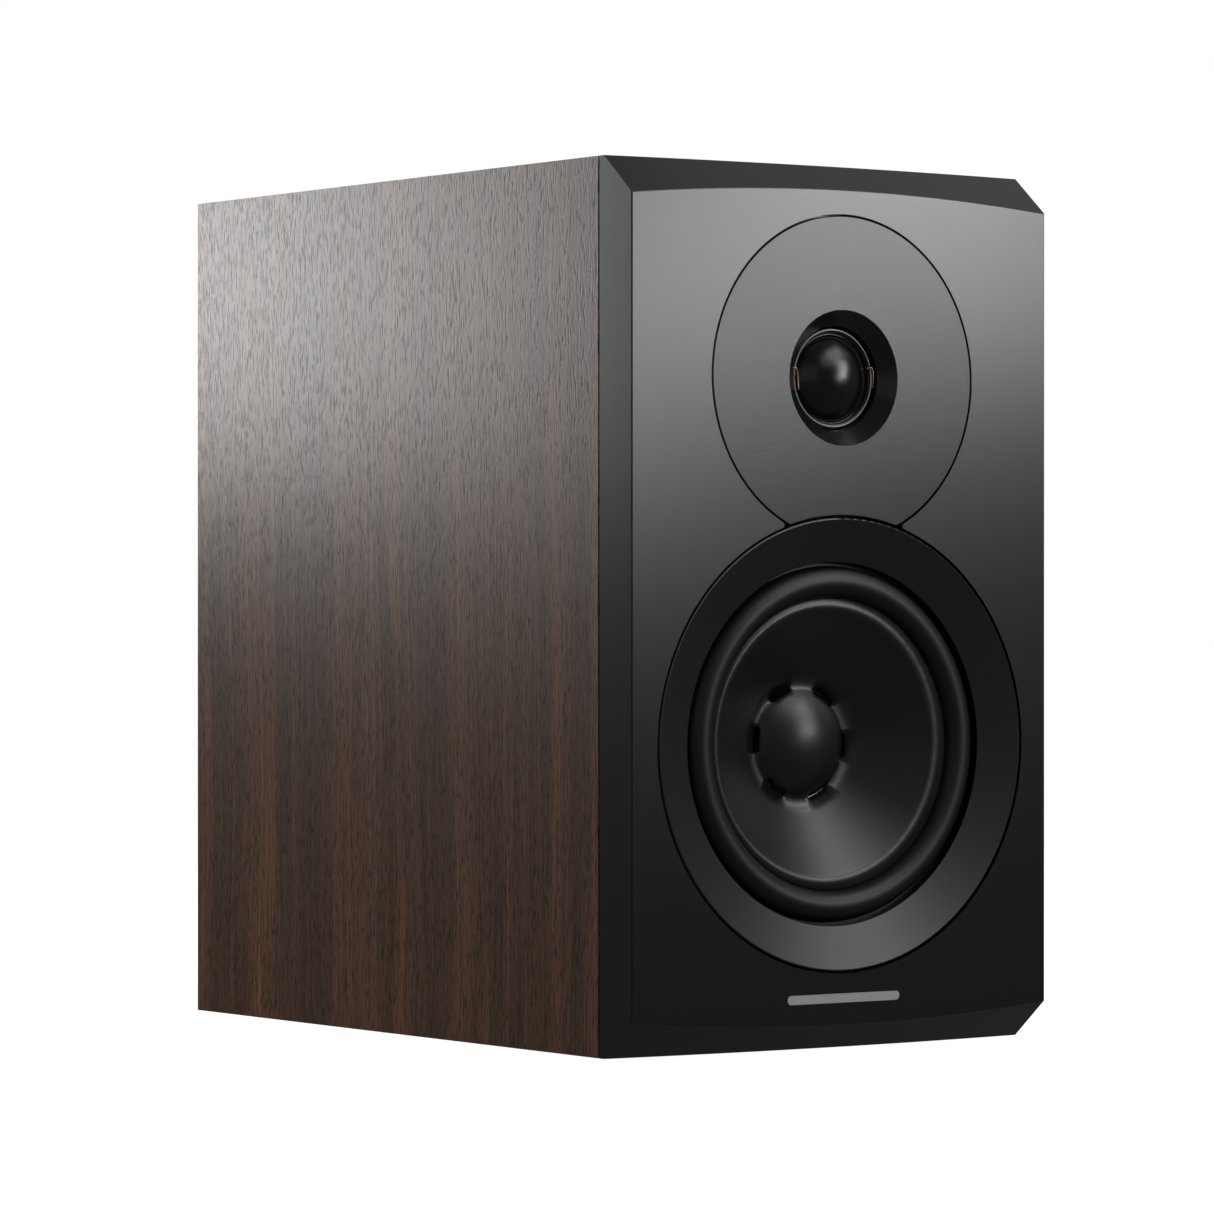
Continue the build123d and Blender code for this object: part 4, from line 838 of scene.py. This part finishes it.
class SPEAKER_OT_woofer_surround(bpy.types.Operator):
    """Mould the rubber roll between the trim ring and the cone"""

    bl_idname = "speaker.woofer_surround"
    bl_label = "Woofer surround"

    def execute(self, context):
        own = context.scene.speaker_woofer
        low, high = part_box("woofer_surround")
        outer = reach("woofer_surround")
        cone_edge = reach("woofer_cone")
        wall = own.rubber_thickness
        roll_out = outer - own.outer_foot
        roll_in = cone_edge + 0.1 * MM
        centre = ((roll_out + roll_in) / 2, low.y + (roll_out - roll_in) / 2)
        radius = (roll_out - roll_in) / 2
        foot = centre[1] - own.roll_rise
        tilt = degrees(acos(sqrt(1 - (own.roll_rise / radius) ** 2)))
        glue = (cone_edge - 4.4 * MM, high.y - wall)
        inner = radius - wall
        outline = [(outer, foot + wall), (outer, foot)]
        outline += bow(centre, radius, -tilt, tilt - 180, 72)
        outline += [glue, (glue[0], high.y)]
        outline += [(centre[0] - inner - 0.5 * MM, foot + wall)]
        outline += bow(centre, inner, -180, 0, 36)
        outline += [(centre[0] + inner, foot + wall)]
        made = lathe("woofer_roll_surround", outline, WOOFER, butyl_rubber(), steps=320)
        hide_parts("woofer_surround")
        flex(made, "woofer_moving", WOOFER, roll_out, roll_in)
        return {"FINISHED"}


class SPEAKER_OT_woofer_inside(bpy.types.Operator):
    """Finish the basket, motor and terminals behind the woofer"""

    bl_idname = "speaker.woofer_inside"
    bl_label = "Woofer inside"

    def execute(self, context):
        paint(powder_coat(), "woofer_basket")
        paint(zinc_plate(), "woofer_top_plate", "woofer_pole_piece")
        paint(sintered_ferrite(), "woofer_magnet")
        paint(phenolic_board(), "woofer_terminal_board")
        paint(tinned_brass(), "woofer_tabs")
        return {"FINISHED"}


class SPEAKER_OT_woofer_spider(bpy.types.Operator):
    """Press the corrugated cloth that centres the woofer's coil"""

    bl_idname = "speaker.woofer_spider"
    bl_label = "Woofer spider"

    def execute(self, context):
        own = context.scene.speaker_woofer
        low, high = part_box("woofer_spider")
        outer = reach("woofer_spider")
        inner = reach("woofer_coil_former") + 0.1 * MM
        cloth = 0.6 * MM
        wave = (high.y - low.y - cloth) / 2
        level = (low.y + high.y + cloth) / 2
        flat = inner + 2.5 * MM
        ridge = outer - 5 * MM
        steps = 16 * own.waves
        back = [(inner, level)]
        for step in range(steps + 1):
            share = step / steps
            back.append((flat + (ridge - flat) * share, level + wave * sin(2 * pi * own.waves * share)))
        back.append((outer, level))
        outline = back + [(r, y - cloth) for r, y in reversed(back)]
        made = lathe("woofer_cloth_spider", outline, WOOFER, treated_cloth(), steps=160)
        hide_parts("woofer_spider")
        flex(made, "woofer_moving", WOOFER, ridge, flat)
        return {"FINISHED"}


class SPEAKER_OT_tinsel_leads(bpy.types.Operator):
    """Run the woofer's two braided leads from its terminal board to the cone's neck"""

    bl_idname = "speaker.tinsel_leads"
    bl_label = "Tinsel leads"

    def execute(self, context):
        board_low, board_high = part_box("woofer_terminal_board")
        lead_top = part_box("woofer_tinsel_leads")[1].z
        radius = 0.5 * MM
        start = board_low.y
        board = (board_low.z + board_high.z) / 2
        neck = lead_top - radius
        route = [
            (8, -0.1, board),
            (8, -6, board - 1.5 * MM),
            (7, -13, board + 1 * MM),
            (6, -15, board + 10 * MM),
            (4, -13, board + 22 * MM),
            (3, -13.5, neck),
        ]
        for name, side in (("right", 1), ("left", -1)):
            points = [(side * x * MM, start + y * MM, z) for x, y, z in route]
            made = wire(f"woofer_tinsel_lead_{name}", points, radius, tinsel_braid())
            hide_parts("woofer_tinsel_leads")
            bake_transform(made, "cabinet", "woofer_moving", start=(0, start, board), end=(0, start, neck))
        return {"FINISHED"}


class SPEAKER_OT_faceplate(bpy.types.Operator):
    """Coat the tweeter's faceplate"""

    bl_idname = "speaker.faceplate"
    bl_label = "Tweeter faceplate"

    def execute(self, context):
        paint(grained_coat(), "tweeter_faceplate")
        return {"FINISHED"}


class SPEAKER_OT_dome(bpy.types.Operator):
    """Coat the tweeter's dome and roll its narrow surround"""

    bl_idname = "speaker.dome"
    bl_label = "Tweeter dome"

    def execute(self, context):
        paint(coated_dome_cloth(), "tweeter_dome")
        even_shading("tweeter_dome")
        paint(aluminium_foil(), "tweeter_coil_former")
        paint(enamelled_copper(), "tweeter_voice_coil")
        low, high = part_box("tweeter_surround")
        outer = reach("tweeter_surround")
        dome = reach("tweeter_dome")
        cloth = 0.3 * MM
        roll = 1.25 * MM
        inner = dome - 0.05 * MM
        centre = (dome + 0.15 * MM + roll, low.y + roll)
        thin = roll - cloth
        outline = [(outer, high.y), (outer, centre[1])]
        outline += bow(centre, roll, 0, -180, 40)
        outline += [(inner, centre[1]), (inner, high.y), (centre[0] - thin, high.y)]
        outline += bow(centre, thin, -180, 0, 24)
        outline += [(centre[0] + thin, high.y)]
        made = lathe("tweeter_roll_surround", outline, TWEETER, coated_dome_cloth(), steps=200)
        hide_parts("tweeter_surround")
        flex(made, "tweeter_moving", TWEETER, centre[0] + thin, centre[0] - thin)
        return {"FINISHED"}


class SPEAKER_OT_lead_outs(bpy.types.Operator):
    """Bend the two fine copper wires that reach the tweeter's dome"""

    bl_idname = "speaker.lead_outs"
    bl_label = "Tweeter lead-outs"

    def execute(self, context):
        base = (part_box("tweeter_dome")[1].y - FRONT) / MM - 0.2
        left = [
            (-16.75, base - 1.0, 3.0),
            (-15.6, base - 1.75, 3.5),
            (-14.45, base - 1.1, 2.0),
            (-13.9, base - 0.9, -3.8),
        ]
        right = [
            (14.3, base - 1.0, 3.6),
            (15.3, base - 1.75, 4.3),
            (16.5, base - 1.45, 3.2),
            (16.6, base - 1.4, 0.1),
            (16.75, base - 1.0, -2.7),
        ]
        for name, route in (("left", left), ("right", right)):
            points = [(x * MM, behind(depth), TWEETER.z + up * MM) for x, depth, up in route]
            made = wire(f"tweeter_lead_out_{name}", points, 0.25 * MM, bare_copper())
            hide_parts("tweeter_lead_outs")
            flex(made, "tweeter_moving", TWEETER, 16.4 * MM, 14.6 * MM)
        return {"FINISHED"}


class SPEAKER_OT_tweeter_inside(bpy.types.Operator):
    """Finish the housing, motor and rear chamber behind the tweeter"""

    bl_idname = "speaker.tweeter_inside"
    bl_label = "Tweeter inside"

    def execute(self, context):
        paint(satin_moulding(), "tweeter_housing", "tweeter_rear_chamber")
        paint(zinc_plate(), "tweeter_top_plate", "tweeter_pole_piece")
        paint(sintered_ferrite(), "tweeter_magnet")
        paint(tinned_brass(), "tweeter_tabs")
        return {"FINISHED"}


class SPEAKER_OT_port(bpy.types.Operator):
    """Finish the flared port"""

    bl_idname = "speaker.port"
    bl_label = "Port"

    def execute(self, context):
        paint(satin_moulding(), "port_flange", "port_tube")
        return {"FINISHED"}


class SPEAKER_OT_terminals(bpy.types.Operator):
    """Finish the terminal cup, its posts, washers, caps, nuts and tags"""

    bl_idname = "speaker.terminals"
    bl_label = "Terminals"

    def execute(self, context):
        paint(satin_moulding(), "terminal_cup")
        paint(gold_plate(), "red_binding_post", "black_binding_post", "post_nuts")
        paint(gold_plate(), "red_post_washer", "black_post_washer")
        paint(clear_cap("red"), "red_post_cap")
        paint(clear_cap("black"), "black_post_cap")
        paint(tinned_brass(), "solder_tags")
        return {"FINISHED"}


class SPEAKER_OT_crossover(bpy.types.Operator):
    """Finish the crossover board and everything on it"""

    bl_idname = "speaker.crossover"
    bl_label = "Crossover"

    def execute(self, context):
        paint(solder_mask(), "crossover_board")
        paint(natural_nylon(), "crossover_standoffs")
        paint(enamelled_copper(), "crossover_inductors")
        paint(satin_moulding(), "inductor_bobbins")
        paint(capacitor_film(), "crossover_capacitors")
        paint(cement_body(), "crossover_resistors")
        return {"FINISHED"}


class SPEAKER_OT_fixings(bpy.types.Operator):
    """Finish the screws, gaskets and inner wires"""

    bl_idname = "speaker.fixings"
    bl_label = "Screws, gaskets and wires"

    def execute(self, context):
        paint(black_zinc(), "driver_screws", "terminal_screws", "crossover_screws")
        paint(closed_cell_foam(), "driver_gaskets", "terminal_gasket")
        paint(wire_sleeve(), "woofer_wires", "tweeter_wires", "input_wires")
        return {"FINISHED"}


class SPEAKER_OT_damping(bpy.types.Operator):
    """Puff up the wadding that lines the cabinet"""

    bl_idname = "speaker.damping"
    bl_label = "Damping wadding"

    def execute(self, context):
        low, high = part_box("damping_pads")
        thick = 12 * MM
        gap = 3 * MM
        top = high.z - thick - gap
        pads = {
            "left": ((low.x, low.y, low.z), (low.x + thick, high.y, top)),
            "right": ((high.x - thick, low.y, low.z), (high.x, high.y, top)),
            "top": ((low.x, low.y, high.z - thick), (high.x, high.y, high.z)),
        }
        for name, (start, end) in pads.items():
            made = puffed_pad(f"damping_pad_{name}", Vector(start), Vector(end), polyester_wadding())
            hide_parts("damping_pads")
            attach(made, "cabinet")
        return {"FINISHED"}


def puffed_pad(name, low, high, material):
    """A slab of wadding inside a box: crowned in the middle, pulled in at its edges, with small lumps."""
    mesh = bmesh.new()
    bmesh.ops.create_cube(mesh, size=1)
    bmesh.ops.subdivide_edges(mesh, edges=mesh.edges[:], cuts=23, use_grid_fill=True)
    middle_point = (low + high) / 2
    size = high - low
    thin = min(range(3), key=lambda axis: size[axis])
    others = [axis for axis in range(3) if axis != thin]
    for vertex in mesh.verts:
        point = vertex.co * 2
        edge = max(abs(point[axis]) for axis in others)
        crown = sqrt(max(0, 1 - edge**6))
        lump = noise.noise(Vector((point.x * 4, point.y * 4, point.z * 4)) + middle_point * 50)
        point[thin] *= 0.35 + 0.6 * crown - 0.05 * (1 + lump) * crown
        for axis in others:
            point[axis] *= 0.985 - 0.012 * lump * lump
        vertex.co = [middle_point[axis] + point[axis] * size[axis] / 2 for axis in range(3)]
    return piece(name, mesh, material)


class SPEAKER_OT_studio(bpy.types.Operator):
    """Set up the pale floor, the soft lights, the white surroundings and the camera"""

    bl_idname = "speaker.studio"
    bl_label = "Studio"

    def execute(self, context):
        own = context.scene.speaker_studio
        scene = context.scene
        low, high = CAD_BOX
        centre = (low + high) / 2
        aim = Vector((sin(own.turn), -cos(own.turn), 0))
        data = bpy.data.cameras.new("camera")
        data.sensor_width = 36
        data.lens = own.lens
        camera = bpy.data.objects.new("camera", data)
        scene.collection.objects.link(camera)
        camera.location = centre + aim * own.distance
        camera.rotation_euler = (pi / 2, 0, own.turn)
        scene.camera = camera
        make_floor(own.floor)
        spared = bpy.data.collections.new("spared_by_key_lights")
        spared.objects.link(NODES["top_panel"])
        spared.collection_objects[0].light_linking.link_state = "EXCLUDE"
        for name, spot in LIGHTS.items():
            light = make_light(name, centre, *spot)
            if name.startswith("key"):  # seen from behind, the key lights would bleach the top
                light.light_linking.receiver_collection = spared
        make_surroundings(scene)
        scene.view_settings.view_transform = "Standard"
        return {"FINISHED"}


# each softbox: degrees round from the front, degrees up, distance, width and height in metres, brightness
LIGHTS = {
    "key_low_left": (26, 6.5, 1.3, 0.15, 0.18, 8),
    "key_low_right": (35, 10, 1.3, 0.27, 0.18, 11),
    "key_top": (33, 17.5, 1.3, 0.42, 0.13, 4),
    "key_near": (34, 25, 0.56, 0.14, 0.12, 4.5),
    "key_middle": (28, 29, 1.3, 0.4, 0.25, 2.5),
    "key_high": (32, 43, 1.3, 0.7, 0.35, 2.5),
    "front_high": (5, 35, 1.3, 0.4, 0.4, 1),
    "right_high": (62, 47, 1.3, 0.4, 0.8, 0.5),
    "back_low": (-151, 8.5, 1.3, 0.34, 0.22, 9),
    "back_low_side": (-164, 8.5, 1.3, 0.25, 0.22, 2.5),
    "back_middle": (-150, 17.5, 1.3, 0.7, 0.18, 3),
    "back_high": (-150, 28, 1.3, 0.7, 0.25, 0.5),
    "front_fill": (-40, 12, 1.6, 1.2, 0.8, 0.2),
    "ceiling": (0, 90, 1.3, 0.8, 0.8, 0.4),
    "top_right": (105, 53, 1.3, 0.8, 0.6, 0.3),
}


def make_light(name, target, turn, rise, distance, width, height, brightness):
    """A soft rectangular light that faces the cabinet."""
    data = bpy.data.lights.new(name, "AREA")
    data.shape = "RECTANGLE"
    data.size = width
    data.size_y = height
    data.energy = pi * width * height * brightness
    light = bpy.data.objects.new(name, data)
    a, e = radians(turn), radians(rise)
    away = Vector((sin(a) * cos(e), -cos(a) * cos(e), sin(e)))
    light.location = target + away * distance
    light.rotation_mode = "QUATERNION"
    light.rotation_quaternion = away.to_track_quat("Z", "Y")
    bpy.context.scene.collection.objects.link(light)
    return light


def make_floor(tint):
    """A large pale floor that the cabinet stands on."""
    material = bpy.data.materials.new("studio_floor")
    material.use_nodes = True
    tree = material.node_tree
    tree.nodes.clear()
    shader = node(
        tree,
        "ShaderNodeBsdfPrincipled",
        {"Base Color": tint, "Roughness": 0.8, "Emission Color": (1, 1, 1), "Emission Strength": 0.9},
    )
    node(tree, "ShaderNodeOutputMaterial", {"Surface": shader.outputs["BSDF"]})
    mesh = bmesh.new()
    bmesh.ops.create_grid(mesh, x_segments=4, y_segments=4, size=30)
    floor = piece("studio_floor", mesh, material)
    floor.location.z = CAD_BOX[0].z - 0.1 * MM
    floor.visible_glossy = False
    floor.visible_diffuse = False


def make_surroundings(scene):
    """White behind the cabinet for the camera, and a dim grey room for everything else."""
    world = bpy.data.worlds.new("white_room")
    world.use_nodes = True
    tree = world.node_tree
    tree.nodes.clear()
    seen = node(tree, "ShaderNodeLightPath").outputs["Is Camera Ray"]
    room = node(tree, "ShaderNodeBackground", {"Color": (0.94, 0.97, 1.0), "Strength": 0.115})
    white = node(tree, "ShaderNodeBackground", {"Color": (1, 1, 1), "Strength": 1})
    mixed = node(tree, "ShaderNodeMixShader", {0: seen, 1: room.outputs[0], 2: white.outputs[0]})
    node(tree, "ShaderNodeOutputWorld", {"Surface": mixed.outputs[0]})
    scene.world = world


OPERATORS = (
    SPEAKER_OT_studio,
    SPEAKER_OT_cabinet,
    SPEAKER_OT_front,
    SPEAKER_OT_woofer_ring,
    SPEAKER_OT_woofer_cone,
    SPEAKER_OT_woofer_surround,
    SPEAKER_OT_woofer_inside,
    SPEAKER_OT_woofer_spider,
    SPEAKER_OT_tinsel_leads,
    SPEAKER_OT_faceplate,
    SPEAKER_OT_dome,
    SPEAKER_OT_lead_outs,
    SPEAKER_OT_tweeter_inside,
    SPEAKER_OT_port,
    SPEAKER_OT_terminals,
    SPEAKER_OT_crossover,
    SPEAKER_OT_fixings,
    SPEAKER_OT_damping,
)


class SPEAKER_PT_panel(bpy.types.Panel):
    """Lists the speaker's pieces and their settings"""

    bl_idname = "SPEAKER_PT_panel"
    bl_label = "Bookshelf speaker"
    bl_space_type = "VIEW_3D"
    bl_region_type = "UI"
    bl_category = "Speaker"

    def draw(self, context):
        for operator in OPERATORS:
            self.layout.operator(operator.bl_idname)
        for name, group in SETTINGS.items():
            box = self.layout.box()
            for field in group.__annotations__:
                box.prop(getattr(context.scene, name), field)


def register():
    for group in SETTINGS.values():
        bpy.utils.register_class(group)
    for name, group in SETTINGS.items():
        setattr(bpy.types.Scene, name, PointerProperty(type=group))
    for operator in OPERATORS:
        bpy.utils.register_class(operator)
    bpy.utils.register_class(SPEAKER_PT_panel)


def unregister():
    bpy.utils.unregister_class(SPEAKER_PT_panel)
    for operator in reversed(OPERATORS):
        bpy.utils.unregister_class(operator)
    for name, group in SETTINGS.items():
        delattr(bpy.types.Scene, name)
        bpy.utils.unregister_class(group)


def main():
    register()
    for operator in OPERATORS:
        group, call = operator.bl_idname.split(".")
        getattr(getattr(bpy.ops, group), call)()


if __name__ == "__main__":
    main()
